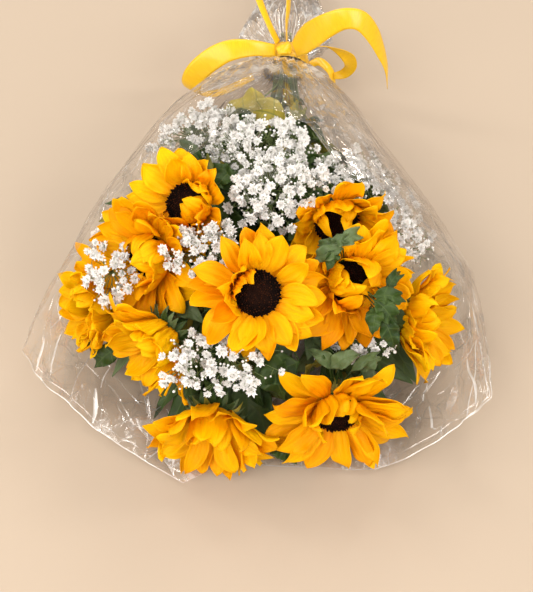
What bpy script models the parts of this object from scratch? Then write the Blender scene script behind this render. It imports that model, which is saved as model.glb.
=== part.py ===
"""A tied bouquet of ten sunflowers with baby's breath, in clear film with a satin ribbon.

It lies down: the stems run back along +Y to the tie and the heads face forward and up.
The origin is on the flat underside of the film, below the middle of the bunch.
Metres, +Z up.
"""

import math
import random
from collections import namedtuple

import bmesh
import bpy
import numpy as np
from mathutils import Vector
from mathutils.bvhtree import BVHTree

CLEAR = 0.0005
RAY_SEED = 100
SPRAY_SEED = 300
# Degrees between faces from which an edge stays sharp.
SHARP = 40
SHARP_DISC = 60
SHARP_STRIP = 50
SHARP_BINDING = 45
SHARP_FILM = 30
UP = Vector((0.0, 0.0, 1.0))
FORWARD = Vector((0.0, -1.0, 0.0))
# How much of a way is upwards when it counts as upright.
STEEP = 0.9

# Sunflower head: a plate that carries the rays, a domed disc on it and a green cup behind it
SEAT_GAP = 0.0004
DISC_RADIUS = 0.0222
DISC_SIDES = 12
# Shares of the disc's radius, and heights over the plate.
DISC_PROFILE = ((0.0, SEAT_GAP), (0.91, SEAT_GAP), (1.0, 0.0030), (0.78, 0.0066), (0.42, 0.0080),
                (0.0, 0.0062))
DISC_RELIEF = 0.0011
PLATE_RADIUS = 0.0245
PLATE_THICKNESS = 0.005
CUP_RADIUS = 0.0215
CUP_DEPTH = 0.013
CUP_POINT = 0.003
CUP_NECK = 0.00555
CUP_WAIST_SHARE = 0.8
CUP_SIDES = 8
HEAD_REACH = 0.027
HEAD_MIDDLE = 0.006

# Rays, in two layers: degrees, and the width of the widest one
LAYER_RAYS = 10
RAY_WIDTH = 0.0225
RAY_THICKNESS = 0.0017
RAY_CHANNEL = 0.0022
RAY_TWIST = 11
RAY_WANDER = 5
RAY_CURL = (-14, 12)
RAY_SWAY = 0.2
# The share of its sway that each station of a ray has.
RAY_SWAY_SHARES = (0.2, 0.7, 1.2)
RAY_LENGTH_SPREAD = 0.06
RAY_LIFTS = (-24, 102)
STEEP_LIFT = 55
STEEP_CURL = 0.6
ROOT_SHARE = 0.12
INNER_RAY_SHARE = 0.86
INNER_RAY_LIFT = 13
# Along a ray past its root: the share of its length, of its curl and of its width.
RAY_STEPS = ((0.42, 0.0, 1.0), (0.32, 0.5, 0.84), (0.26, 1.0, 0.0))
# How a ray that would cross another is bent, in degrees, and shortened, in shares.
RAY_TRIES = [(0, 1.0)] + [(sign * step, share) for share in (1.0, 0.86, 0.72)
                          for step in (6, 12, 19, 27, 36, 46, 58, 72) for sign in (1, -1)]
RAY_CLEAR = 0.0002

# Bracts and leaves
BRACTS = 6
BRACT_LENGTH = 0.024
BRACT_WIDTH = 0.011
BRACT_ROOT_WIDTH = 0.0088
BRACT_WIDEST_SHARE = 0.42
BRACT_INSET = 0.0055
BRACT_DROP = 0.0035
BRACT_CHANNEL = 0.0006
BRACT_LIFTS = ((-14, -26, -38, -50, -64), (4, -8, -20, -32, -46, -60))
BLADE_THICKNESS = 0.0016
LEAF_CHANNEL = 0.0024
LEAF_STALK = 0.0022
# Along a leaf with toothed edges: the share of its length, and of its width there.
LEAF_SHAPE = ((0.0, 0.07), (0.24, 0.09), (0.38, 0.94), (0.50, 0.74), (0.62, 0.92), (0.78, 0.54))
LEAF_DROOPS = (0.006, -0.004, 0.014)
LEAF_SCALES = (1.0, 0.8, 0.6)
LEAF_MOVES = (0.012, 0.024, 0.036)

# Stems, tie and binding
TIE = Vector((0.022, 0.290, 0.055))
STEM_RADIUS = 0.0037
STEM_SIDES = 6
SPRAY_STEM_RADIUS = 0.0013
SPRAY_STEM_SIDES = 3
STEM_GAP = 0.0003
STEM_STEP = 0.002
CUT_END = 0.036
STRAIGHT_NECK = 0.022
FLOOR_CLEARANCE = 0.0055
ROUTE_STEPS = 7
ROUTE_EASE = 0.9
MOST_BOW = 0.55
# How far a stem bows behind its head, and the share of its run that its first bend takes.
BOWS = ((0.10, 0.3), (0.07, 0.3), (0.13, 0.3), (0.05, 0.4), (0.10, 0.16), (0.16, 0.3))
SHIFTS = [(0.0, 0.0)] + [(x * far, z * far) for far in (0.015, 0.03, 0.045) for x, z in
                         ((0, -1), (1, 0), (-1, 0), (0, 1), (1, -1), (-1, -1), (1, 1), (-1, 1))]
PARTING_ROUNDS = 60
PARTING_SHARE = 0.7
LEAST_PULL = 0.3
PACKING_ROUNDS = 900
PACKING_PULL = (0.015, 0.001)
# How far out in the tie a stem starts, for how far its head is off the tie's axis.
PACKING_AIM = 0.1
BINDING_WIDTH = 0.010
BINDING_RADIUS = 0.0201
BINDING_SIDES = 16

# Film wrap
FILM_THICKNESS = 0.0009
FILM_SIDES = 26
PLEAT_DEPTH = 0.0022
OPEN_PLEAT = 0.35
GATHER_REACH = 0.10
FLAT_UNDERSIDE = 1.34
LYING_UNDER = 0.010

# Ribbon
RIBBON_WIDTH = 0.026
RIBBON_THICKNESS = 0.0009
RIBBON_TURN_WIDTH = 0.022
RIBBON_TURN_RADIUS = 0.0263
RIBBON_TURN_THICKNESS = 0.0014
RIBBON_TURN_SIDES = 22
RIBBON_STEPS = 2
KNOT = Vector((0.021, 0.2865, 0.0803))
KNOT_PROFILE = ((0.0, 0.0), (0.008, 0.0), (0.0115, 0.004), (0.0085, 0.0085), (0.0, 0.009))
KNOT_SIDES = 10

# Baby's breath
FLORET_RADIUS = 0.0047
FLORET_SIDES = 4
FLORET_SIZES = (0.85, 1.12)
FLORET_WAVE = (-0.1, 0.35)
FLORET_HEIGHTS = (-0.75, 0.6)
FLORET_ROOM = 2.3
PARTNER_REACH = 1.3
CLUSTER = 3
TWIG_RADIUS = 0.0006
BRANCH_RADIUS = 0.0008
BRANCHES = 4
BRANCH_SHARE = 0.55
BRANCH_TRIES = 30
FLORET_TRIES = 40
# What is added to a floret's way out of its crown.
FLORET_LEAN = Vector((0.0, -0.3, 0.6))
CROWN_LOWEST = -0.35
CROWN_HOLLOW = 0.35
HUB_SHARE = 0.95

Bloom = namedtuple("Bloom", "name centre heading rise ray cup lean fold turn_to leaves")
Leaf = namedtuple("Leaf", "tip width share")
Spray = namedtuple("Spray", "name crown spread florets")
Section = namedtuple("Section", "behind centre half side top bottom")
Finish = namedtuple("Finish", "name colour roughness metallic alpha")

RAY_YELLOW = Finish("ray_yellow", (0.95, 0.48, 0.008), 0.55, 0.0, 1.0)
DISC_BROWN = Finish("disc_brown", (0.022, 0.010, 0.006), 0.9, 0.0, 1.0)
LEAF_GREEN = Finish("leaf_green", (0.045, 0.110, 0.030), 0.6, 0.0, 1.0)
FLORET_WHITE = Finish("floret_white", (0.86, 0.85, 0.80), 0.7, 0.0, 1.0)
CLEAR_FILM = Finish("clear_film", (0.90, 0.88, 0.84), 0.12, 0.0, 0.25)
SATIN_YELLOW = Finish("satin_yellow", (0.98, 0.62, 0.02), 0.3, 0.0, 1.0)
BINDING_BUFF = Finish("binding_buff", (0.55, 0.42, 0.22), 0.8, 0.0, 1.0)

# Heading is degrees from straight forward towards +X, and rise is degrees above level.
# Cup is how far the rays lift towards the front, lean how much more of it on one side, and
# fold how far the inner rays bend over the disc from there. Turn_to is that side, in degrees
# clockwise from the head's upper edge.
BLOOMS = (
    Bloom("centre", (-0.009, -0.100, 0.190), 5, 58, 0.044, 10, 8, 40, 300,
          (Leaf((-0.062, -0.086, 0.118), 0.040, 0.72), Leaf((0.019, -0.140, 0.090), 0.040, 0.78))),
    Bloom("front_right", (0.070, -0.176, 0.083), 5, 20, 0.055, 18, 2, 66, 5,
          (Leaf((0.078, -0.140, 0.132), 0.034, 0.80), Leaf((0.129, -0.176, 0.026), 0.036, 0.74))),
    Bloom("front_left", (-0.054, -0.180, 0.069), -5, 6, 0.051, 38, 8, 26, 0,
          (Leaf((0.006, -0.196, 0.028), 0.036, 0.80), Leaf((-0.108, -0.176, 0.020), 0.032, 0.72))),
    Bloom("upper_right", (0.083, -0.070, 0.163), 25, 45, 0.050, 24, 8, 62, 290,
          (Leaf((0.073, -0.020, 0.176), 0.034, 0.72), Leaf((0.118, -0.100, 0.118), 0.036, 0.80))),
    Bloom("far_right", (0.148, -0.078, 0.100), 69, 20, 0.047, 42, 10, 10, 270,
          (Leaf((0.126, -0.100, 0.140), 0.036, 0.74), Leaf((0.155, -0.118, 0.030), 0.034, 0.76))),
    Bloom("lower_left", (-0.104, -0.112, 0.118), -42, 4, 0.048, 48, 6, 0, 40,
          (Leaf((-0.172, -0.108, 0.040), 0.034, 0.70), Leaf((-0.060, -0.128, 0.062), 0.038, 0.80))),
    Bloom("middle_left", (-0.117, -0.034, 0.150), -38, 38, 0.045, 26, 12, 72, 80,
          (Leaf((-0.178, 0.040, 0.105), 0.034, 0.66), Leaf((-0.116, -0.062, 0.100), 0.036, 0.84))),
    Bloom("far_left", (-0.170, -0.050, 0.085), -61, 16, 0.043, 46, 8, 0, 90,
          (Leaf((-0.168, -0.104, 0.056), 0.032, 0.80),)),
    Bloom("top_left", (-0.079, 0.016, 0.168), -36, 64, 0.045, 26, 16, 60, 40,
          (Leaf((-0.110, 0.098, 0.130), 0.036, 0.52), Leaf((-0.040, 0.062, 0.152), 0.032, 0.60),
           Leaf((-0.150, 0.040, 0.122), 0.032, 0.70))),
    Bloom("top_right", (0.071, 0.004, 0.154), 8, 30, 0.041, 28, 14, 36, 350,
          (Leaf((0.036, 0.050, 0.160), 0.032, 0.56), Leaf((0.136, 0.035, 0.118), 0.034, 0.62))),
)

SPRAYS = (
    Spray("veiled_left", (-0.066, 0.118, 0.130), (0.046, 0.030, 0.022), 15),
    Spray("middle_top", (-0.006, 0.096, 0.150), (0.040, 0.030, 0.024), 15),
    Spray("middle_low", (0.014, 0.030, 0.166), (0.036, 0.034, 0.026), 18),
    Spray("left_inner", (-0.062, -0.044, 0.176), (0.036, 0.026, 0.018), 15),
    Spray("left_outer", (-0.158, -0.038, 0.138), (0.030, 0.036, 0.018), 12),
    Spray("front", (-0.048, -0.150, 0.146), (0.058, 0.030, 0.024), 24),
    Spray("veiled_right", (0.102, 0.074, 0.128), (0.044, 0.030, 0.020), 12),
    Spray("right_outer", (0.142, 0.008, 0.116), (0.026, 0.036, 0.018), 12),
    Spray("right_low", (0.096, -0.118, 0.118), (0.034, 0.012, 0.010), 6),
)

# Film sections, from the end of the tail to past the mouth: how far in front of the tie
# each lies (behind it is negative), then its middle, half width, side, top and underside.
FILM_SECTIONS = (
    Section(-0.155, 0.030, 0.040, 0.040, 0.074, 0.008),
    Section(-0.112, 0.027, 0.028, 0.040, 0.066, 0.014),
    Section(-0.072, 0.024, 0.044, 0.046, 0.088, 0.004),
    Section(-0.040, 0.022, 0.054, 0.050, 0.100, 0.000),
    Section(-0.013, 0.022, 0.0236, 0.055, 0.0786, 0.0314),
    Section(0.013, 0.022, 0.0236, 0.055, 0.0786, 0.0314),
    Section(0.030, 0.009, 0.053, 0.058, 0.104, 0.018),
    Section(0.052, 0.001, 0.079, 0.060, 0.124, 0.006),
    Section(0.090, -0.003, 0.107, 0.066, 0.148, 0.000),
    Section(0.140, -0.008, 0.132, 0.072, 0.172, 0.000),
    Section(0.190, -0.008, 0.158, 0.078, 0.190, 0.000),
    Section(0.250, -0.006, 0.188, 0.080, 0.204, 0.000),
    Section(0.320, -0.004, 0.218, 0.080, 0.212, 0.000),
    Section(0.390, -0.014, 0.236, 0.075, 0.212, 0.000),
    Section(0.520, -0.018, 0.244, 0.060, 0.205, 0.000),
)
TAIL_STEPS = (-0.155, -0.112, -0.072, -0.040, -0.013, 0.013)
SKIRT_SHARES = (0.10, 0.20, 0.33, 0.48, 0.65, 0.83, 1.0)
# How far the mouth's rim lies in front of the tie, by degrees from +X over the top.
MOUTH = (
    (-90, 0.490), (-57, 0.495), (-45, 0.480), (-24, 0.455), (-8, 0.441), (15, 0.372),
    (30, 0.328), (40, 0.300), (50, 0.262), (62, 0.250), (70, 0.176), (84, 0.157),
    (98, 0.168), (104, 0.212), (114, 0.222), (131, 0.206), (142, 0.222), (149, 0.275),
    (157, 0.345), (168, 0.378), (180, 0.390), (215, 0.425), (235, 0.468), (254, 0.512),
    (262, 0.495), (270, 0.490),
)

# Ribbon strips: the middle line, the way the face points at each end, and the shares of
# the ribbon's width from end to end.
RIBBON_STRIPS = {
    "ribbon_big_curl": (
        ((0.0315, 0.283, 0.0868), (0.040, 0.276, 0.108), (0.051, 0.270, 0.130), (0.067, 0.267, 0.149),
         (0.086, 0.267, 0.160), (0.104, 0.267, 0.157), (0.118, 0.264, 0.140), (0.129, 0.259, 0.116),
         (0.137, 0.252, 0.092), (0.139, 0.242, 0.068)),
        (-0.45, -0.55, 0.70), (0.92, -0.35, 0.10),
        (0.75, 1.0, 0.95, 0.8, 0.65, 0.55, 0.55, 0.5, 0.32, 0.05)),
    "ribbon_left_loop": (
        ((0.0105, 0.284, 0.0858), (-0.018, 0.279, 0.096), (-0.044, 0.273, 0.098), (-0.066, 0.266, 0.088),
         (-0.083, 0.260, 0.070), (-0.088, 0.257, 0.050), (-0.078, 0.262, 0.032), (-0.058, 0.270, 0.024),
         (-0.034, 0.279, 0.028), (-0.0155, 0.286, 0.036)),
        (0.10, -0.35, 0.93), (-0.35, -0.30, -0.89),
        (0.55, 0.7, 0.9, 1.0, 1.0, 0.95, 0.8, 0.65, 0.55, 0.5)),
    "ribbon_small_curl": (
        ((0.0415, 0.289, 0.0772), (0.054, 0.288, 0.087), (0.068, 0.286, 0.091), (0.083, 0.283, 0.087),
         (0.095, 0.281, 0.076), (0.098, 0.280, 0.061), (0.091, 0.281, 0.047), (0.079, 0.283, 0.040)),
        (0.0, 0.55, 0.83), (0.1, 0.6, -0.79),
        (0.45, 0.45, 0.45, 0.5, 0.6, 0.55, 0.45, 0.3)),
    "ribbon_up_tail": (
        ((0.0135, 0.2965, 0.0845), (0.005, 0.306, 0.101), (-0.002, 0.320, 0.110), (-0.009, 0.338, 0.116),
         (-0.016, 0.358, 0.116), (-0.024, 0.380, 0.112)),
        (0.75, -0.40, 0.55), (0.70, -0.45, 0.55), (0.35, 0.38, 0.42, 0.42, 0.4, 0.3)),
    "ribbon_back_tail": (
        ((0.024, 0.2985, 0.0860), (0.024, 0.309, 0.101), (0.026, 0.326, 0.110), (0.027, 0.347, 0.113),
         (0.027, 0.368, 0.110), (0.026, 0.388, 0.105)),
        (0.93, -0.2, 0.3), (0.9, -0.2, 0.4), (0.3, 0.3, 0.34, 0.36, 0.34, 0.24)),
    "ribbon_side_tail": (
        ((0.0510, 0.290, 0.052), (0.062, 0.294, 0.053), (0.072, 0.291, 0.047), (0.078, 0.284, 0.041),
         (0.081, 0.276, 0.027)),
        (0.5, -0.6, 0.62), (0.9, -0.4, 0.2), (0.25, 0.3, 0.34, 0.34, 0.2)),
}

# The name of a node and the shape of one piece of it, for each piece placed so far.
obstacles = []


def clear_scene():
    """Removes what the file already holds."""
    for old in list(bpy.data.objects):
        bpy.data.objects.remove(old, do_unlink=True)


def finish_material(finish):
    """A plain material of the finish's colour, made once."""
    material = bpy.data.materials.get(finish.name)
    if material is None:
        material = bpy.data.materials.new(finish.name)
        material.use_nodes = True
        shader = material.node_tree.nodes["Principled BSDF"]
        shader.inputs["Base Color"].default_value = (*finish.colour, 1.0)
        shader.inputs["Roughness"].default_value = finish.roughness
        shader.inputs["Metallic"].default_value = finish.metallic
        shader.inputs["Alpha"].default_value = finish.alpha
    return material


def mesh_object(name, points, faces, finish):
    """A named object from points and faces, turned to face out."""
    mesh = bpy.data.meshes.new(name)
    mesh.from_pydata([tuple(p) for p in points], [], faces)
    shape = bmesh.new()
    shape.from_mesh(mesh)
    bmesh.ops.recalc_face_normals(shape, faces=shape.faces)
    shape.to_mesh(mesh)
    shape.free()
    mesh.materials.append(finish_material(finish))
    made = bpy.data.objects.new(name, mesh)
    bpy.context.scene.collection.objects.link(made)
    return made


def keep_largest(mesh):
    """Deletes what isn't joined to the mesh's largest piece."""
    shape = bmesh.new()
    shape.from_mesh(mesh)
    unseen, groups = set(shape.verts), []
    while unseen:
        group, edge = set(), [unseen.pop()]
        while edge:
            here = edge.pop()
            group.add(here)
            for link in here.link_edges:
                other = link.other_vert(here)
                if other in unseen:
                    unseen.remove(other)
                    edge.append(other)
        groups.append(group)
    largest = max(groups, key=len)
    bmesh.ops.delete(shape, geom=[v for v in shape.verts if v not in largest], context="VERTS")
    shape.to_mesh(mesh)
    shape.free()


def fused(name, pieces, finish):
    """One body from several closed pieces, by one Boolean union, with the pieces then removed."""
    base = mesh_object(name, *pieces[0], finish)
    helpers = bpy.data.collections.new(name + "_pieces")
    bpy.context.scene.collection.children.link(helpers)
    for number, (points, faces) in enumerate(pieces[1:]):
        helper = mesh_object(f"{name}_piece_{number}", points, faces, finish)
        bpy.context.scene.collection.objects.unlink(helper)
        helpers.objects.link(helper)
        helper.hide_render = True
        helper.display_type = "WIRE"
    union = base.modifiers.new("union", "BOOLEAN")
    union.operation = "UNION"
    union.operand_type = "COLLECTION"
    union.collection = helpers
    union.solver = "EXACT"
    graph = bpy.context.evaluated_depsgraph_get()
    whole = bpy.data.meshes.new_from_object(base.evaluated_get(graph))
    keep_largest(whole)
    base.modifiers.clear()
    base.data = whole
    whole.name = name
    for helper in list(helpers.objects):
        bpy.data.objects.remove(helper, do_unlink=True)
    bpy.data.collections.remove(helpers)
    return base


def shade(made, degrees=SHARP):
    """Smooth shading, with edges sharper than the angle kept."""
    made.data.shade_smooth()
    made.data.set_sharp_from_angle(angle=math.radians(degrees))


def add_obstacle(owner, points, faces):
    """Keeps a shape of a node for the pieces of other nodes to stay clear of."""
    obstacles.append((owner, BVHTree.FromPolygons([Vector(p) for p in points], faces)))


def shape_of(made):
    """An object's points and faces."""
    return [v.co.copy() for v in made.data.vertices], [tuple(f.vertices) for f in made.data.polygons]


def swollen(points, faces, by):
    """The points moved out along their normals."""
    shape = bmesh.new()
    corners = [shape.verts.new(p) for p in points]
    for face in faces:
        shape.faces.new([corners[i] for i in face])
    bmesh.ops.recalc_face_normals(shape, faces=shape.faces)
    shape.normal_update()
    moved = [corner.co + corner.normal * by for corner in corners]
    shape.free()
    return moved


def is_clear(owner, points, faces):
    """Whether a shape with its clearance misses every other node, and stays over the surface."""
    fat = swollen(points, faces, CLEAR)
    if min(p.z for p in fat) < FILM_THICKNESS:
        return False
    tree = BVHTree.FromPolygons(fat, faces)
    return not any(name != owner and tree.overlap(other) for name, other in obstacles)


def across(direction, towards):
    """The unit part of one direction that is square to another."""
    part = towards - direction * towards.dot(direction)
    return part.normalized()


def blade(line, across_ways, face_ways, widths, thickness, channel):
    """A thin leaf-shaped solid: pointed at its last point, with edges raised over its midrib.

    Each station has a left edge, a top, a right edge and an underside.
    """
    points = []
    stations = len(line) - 1
    for i in range(stations):
        half = widths[i] / 2
        lift = channel * min(1.0, widths[i] / max(widths))
        points.append(line[i] - across_ways[i] * half + face_ways[i] * lift)
        points.append(line[i] + face_ways[i] * thickness / 2)
        points.append(line[i] + across_ways[i] * half + face_ways[i] * lift)
        points.append(line[i] - face_ways[i] * thickness / 2)
    points.append(line[-1])
    tip = len(points) - 1
    faces = [(0, 1, 3), (1, 2, 3)]
    for i in range(stations - 1):
        a, b = 4 * i, 4 * i + 4
        for left, right in ((0, 1), (1, 2)):
            faces += [(a + left, a + right, b + right), (a + left, b + right, b + left)]
        for left, right in ((0, 3), (3, 2)):
            faces += [(a + left, b + right, a + right), (a + left, b + left, b + right)]
    last = 4 * (stations - 1)
    faces += [(last, last + 1, tip), (last + 1, last + 2, tip)]
    faces += [(last + 3, last, tip), (last + 2, last + 3, tip)]
    return points, faces


def tube(route, radius, sides):
    """A closed round tube along a route of points."""
    points, faces = [], []
    side = None
    for i, centre in enumerate(route):
        ahead = route[min(i + 1, len(route) - 1)] - route[max(i - 1, 0)]
        ahead.normalize()
        if side is None:
            side = UP if abs(ahead.z) < STEEP else FORWARD
        side = across(ahead, side)
        other = ahead.cross(side)
        for k in range(sides):
            turn = 2 * math.pi * k / sides
            points.append(centre + (side * math.cos(turn) + other * math.sin(turn)) * radius)
    for i in range(len(route) - 1):
        for k in range(sides):
            a, b = i * sides + k, i * sides + (k + 1) % sides
            faces += [(a, b, b + sides), (a, b + sides, a + sides)]
    faces.append(tuple(range(sides)))
    faces.append(tuple(len(points) - sides + k for k in range(sides)))
    return points, faces


def turned(origin, axis, first_side, profile, sides, relief=None):
    """A solid turned about an axis: profile pairs of radius and height, closed at both ends."""
    other = axis.cross(first_side)
    points, faces = [origin + axis * profile[0][1]], []
    rings = profile[1:-1]
    for row, (radius, height) in enumerate(rings):
        for k in range(sides):
            turn = 2 * math.pi * k / sides
            lift = relief(row, k) if relief else 0.0
            way = first_side * math.cos(turn) + other * math.sin(turn)
            points.append(origin + way * radius + axis * (height + lift))
    points.append(origin + axis * profile[-1][1])
    top = len(points) - 1
    for k in range(sides):
        here, after = 1 + k, 1 + (k + 1) % sides
        faces.append((0, after, here))
        for row in range(len(rings) - 1):
            a, b = here + row * sides, after + row * sides
            faces += [(a, b, b + sides), (a, b + sides, a + sides)]
        last = (len(rings) - 1) * sides
        faces.append((here + last, after + last, top))
    return points, faces


def facing_of(bloom):
    """The way a head faces."""
    heading, rise = math.radians(bloom.heading), math.radians(bloom.rise)
    level = Vector((math.sin(heading), -math.cos(heading), 0.0))
    return level * math.cos(rise) + UP * math.sin(rise)


def head_frame(bloom):
    """A head's centre, the way it faces, its upper edge's way and its right."""
    facing = facing_of(bloom)
    upper = across(facing, UP)
    return Vector(bloom.centre), facing, upper, upper.cross(facing)


def disc_relief(row, k):
    """Small florets in spiral rows, as a height over the disc."""
    return DISC_RELIEF if row and (k + row) % 2 else 0.0


def disc_piece(bloom):
    """The dark domed disc that stands on the plate of rays."""
    centre, facing, upper, _ = head_frame(bloom)
    profile = [(share * DISC_RADIUS, height) for share, height in DISC_PROFILE]
    return turned(centre, facing, upper, profile, DISC_SIDES, disc_relief)


def cup_piece(bloom):
    """The green cup behind the plate, down to the stem."""
    centre, facing, upper, _ = head_frame(bloom)
    back = PLATE_THICKNESS + SEAT_GAP
    profile = ((0.0, -back - CUP_DEPTH - CUP_POINT), (CUP_NECK, -back - CUP_DEPTH),
               (CUP_RADIUS * CUP_WAIST_SHARE, -back - CUP_DEPTH / 2), (CUP_RADIUS, -back), (0.0, -back))
    return turned(centre, facing, upper, profile, CUP_SIDES)


def bract_piece(bloom, number, lift):
    """One pointed green bract of the cup's rim, lifted by so many degrees towards the front."""
    centre, facing, upper, right = head_frame(bloom)
    turn = 2 * math.pi * (number + 0.5) / BRACTS
    out = upper * math.cos(turn) + right * math.sin(turn)
    side = facing.cross(out)
    rise = math.radians(lift)
    way = out * math.cos(rise) + facing * math.sin(rise)
    face = facing * math.cos(rise) - out * math.sin(rise)
    root = centre + out * (CUP_RADIUS - BRACT_INSET) - facing * (PLATE_THICKNESS + BRACT_DROP)
    line = [root, root + way * BRACT_LENGTH * BRACT_WIDEST_SHARE, root + way * BRACT_LENGTH]
    widths = (BRACT_ROOT_WIDTH, BRACT_WIDTH)
    return blade(line, [side] * 3, [face] * 3, widths, BLADE_THICKNESS, BRACT_CHANNEL)


def ray_stations(bloom, root, out, length, lift, curl, sway):
    """A ray petal past its root: two lens-shaped stations and the tip, lifted, curled and turned."""
    facing = facing_of(bloom)
    side = out.cross(facing)
    twist = math.radians(RAY_TWIST)
    spot, stations = root, []
    for (share, bend, width), swayed in zip(RAY_STEPS, RAY_SWAY_SHARES):
        angle = lift + curl * bend
        way = out * math.cos(angle) + facing * math.sin(angle) + side * sway * swayed
        way.normalize()
        spot = spot + way * length * share
        face = across(way, facing * math.cos(angle) - out * math.sin(angle))
        face = face * math.cos(twist) + way.cross(face) * math.sin(twist)
        over = across(face, side) * RAY_WIDTH * width / 2
        edge = face * RAY_CHANNEL * width
        stations.append((spot - over + edge, spot + face * RAY_THICKNESS / 2, spot + over + edge,
                         spot - face * RAY_THICKNESS / 2))
    points = [p for station in stations[:-1] for p in station]
    return points + [spot]


def ray_faces(root, first):
    """A ray's faces: from the four corners of its root to the stations that start at an index."""
    low_left, low_right, high_right, high_left = root
    left, top, right, under = first, first + 1, first + 2, first + 3
    faces = [(high_left, low_left, left), (high_left, left, top), (high_left, top, high_right),
             (high_right, top, right), (high_right, right, low_right), (low_left, under, left),
             (low_left, low_right, under), (low_right, right, under)]
    for a, b in ((left, top), (top, right)):
        faces += [(a, b, b + 4), (a, b + 4, a + 4)]
    for a, b in ((left, under), (under, right)):
        faces += [(a, b + 4, b), (a, a + 4, b + 4)]
    tip = first + 8
    second = first + 4
    return faces + [(second, second + 1, tip), (second + 1, second + 2, tip),
                    (second + 3, second, tip), (second + 2, second + 3, tip)]


def corolla(bloom, rng):
    """The plate under the disc and the two layers of rays that grow from its rim, as one solid.

    Each ray takes the place of one side of the plate, and is bent clear of what stands in its way.
    """
    centre, facing, upper, right = head_frame(bloom)
    owner = f"{bloom.name}_rays"
    sides = 2 * LAYER_RAYS
    points = [centre - facing * PLATE_THICKNESS, centre.copy()]
    for level in (PLATE_THICKNESS, PLATE_THICKNESS / 2, 0.0):
        for k in range(sides):
            turn = 2 * math.pi * k / sides
            out = upper * math.cos(turn) + right * math.sin(turn)
            points.append(centre - facing * level + out * PLATE_RADIUS)
    faces, own = [], []
    for k in range(sides):
        after = (k + 1) % sides
        faces += [(0, 2 + after, 2 + k), (1, 2 + 2 * sides + k, 2 + 2 * sides + after)]
        for layer in (0, 1):
            low, high = 2 + layer * sides, 2 + (layer + 1) * sides
            root = (low + k, low + after, high + after, high + k)
            piece = None
            if k % 2 == layer:
                piece = fitted_ray(bloom, rng, [points[i] for i in root], layer, owner, own)
            if piece is None:
                faces += [(root[0], root[1], root[2]), (root[0], root[2], root[3])]
                continue
            faces += ray_faces(root, len(points))
            points += piece
    return points, faces


def fitted_ray(bloom, rng, root, layer, owner, own):
    """The stations of one ray, bent until it is clear of other nodes and of its bloom's own rays."""
    centre, facing, upper, right = head_frame(bloom)
    middle = sum(root, Vector()) / 4
    out = across(facing, middle - centre)
    turn = math.atan2(out.dot(right), out.dot(upper))
    nearness = math.cos(turn - math.radians(bloom.turn_to))
    lift = bloom.cup + bloom.lean * nearness + rng.uniform(-RAY_WANDER, RAY_WANDER)
    if layer:
        lift += INNER_RAY_LIFT + bloom.fold * max(0.0, nearness)
    curl = math.radians(rng.uniform(*RAY_CURL) + max(0.0, lift - STEEP_LIFT) * STEEP_CURL)
    length = bloom.ray * (INNER_RAY_SHARE if layer else 1.0)
    length *= 1 + rng.uniform(-RAY_LENGTH_SPREAD, RAY_LENGTH_SPREAD)
    sway = rng.uniform(-RAY_SWAY, RAY_SWAY)
    for bend, share in RAY_TRIES:
        angle = math.radians(min(RAY_LIFTS[1], max(RAY_LIFTS[0], lift + bend)))
        stations = ray_stations(bloom, middle, out, length * share, angle, curl, sway)
        start = [corner.lerp(stations[0], ROOT_SHARE) for corner in root]
        points = start + stations
        faces = ray_faces((0, 1, 2, 3), 4) + [(0, 3, 2), (0, 2, 1)]
        if not is_clear(owner, points, faces):
            continue
        tree = BVHTree.FromPolygons(swollen(points, faces, RAY_CLEAR), faces)
        if not any(tree.overlap(other) for other in own):
            own.append(BVHTree.FromPolygons(points, faces))
            return stations
    return None


def bezier(a, b, c, d, t):
    """A point on a cubic curve."""
    s = 1 - t
    return a * s ** 3 + b * 3 * s * s * t + c * 3 * s * t * t + d * t ** 3


def stem_route(slot, base, facing, bow, reach, shift):
    """A stem's middle line: from its cut end through the tie, then up to the head."""
    start = Vector((slot[0], TIE.y + CUT_END, slot[1]))
    neck = Vector((slot[0], TIE.y - STRAIGHT_NECK, slot[1]))
    run = (base - neck).length
    handle = neck + FORWARD * run * reach + Vector((shift[0], 0.0, shift[1]))
    arrival = base - facing * min(bow, run * MOST_BOW)
    shares = [(i / (ROUTE_STEPS - 1)) ** ROUTE_EASE for i in range(ROUTE_STEPS)]
    return [start] + [bezier(neck, handle, arrival, base, share) for share in shares]


def spread_points(line, step=STEM_STEP):
    """Points a short step apart along a route."""
    found = []
    for a, b in zip(line, line[1:]):
        count = max(1, round((b - a).length / step))
        found += [a.lerp(b, i / count) for i in range(count)]
    return found + [line[-1]]


def nearest(points, others):
    """The least distance between two arrays of points."""
    gaps = points[:, None, :] - others[None, :, :]
    return math.sqrt((gaps ** 2).sum(axis=2).min())


def pick_route(slot, base, facing, radius, laid, heads):
    """The route with the most room between the stems already laid and the other heads."""
    best, best_room = None, -math.inf
    for shift in SHIFTS:
        for bow, reach in BOWS:
            line = stem_route(slot, base, facing, bow, reach, shift)
            points = np.array(spread_points(line))
            room = points[:, 2].min() - radius - FLOOR_CLEARANCE
            for others, other_radius in heads + laid:
                if room <= 0 and room < best_room:
                    break
                room = min(room, nearest(points, others) - radius - other_radius - STEM_GAP / 2)
            if room > 0:
                return line
            if room > best_room:
                best, best_room = line, room
    return best


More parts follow.
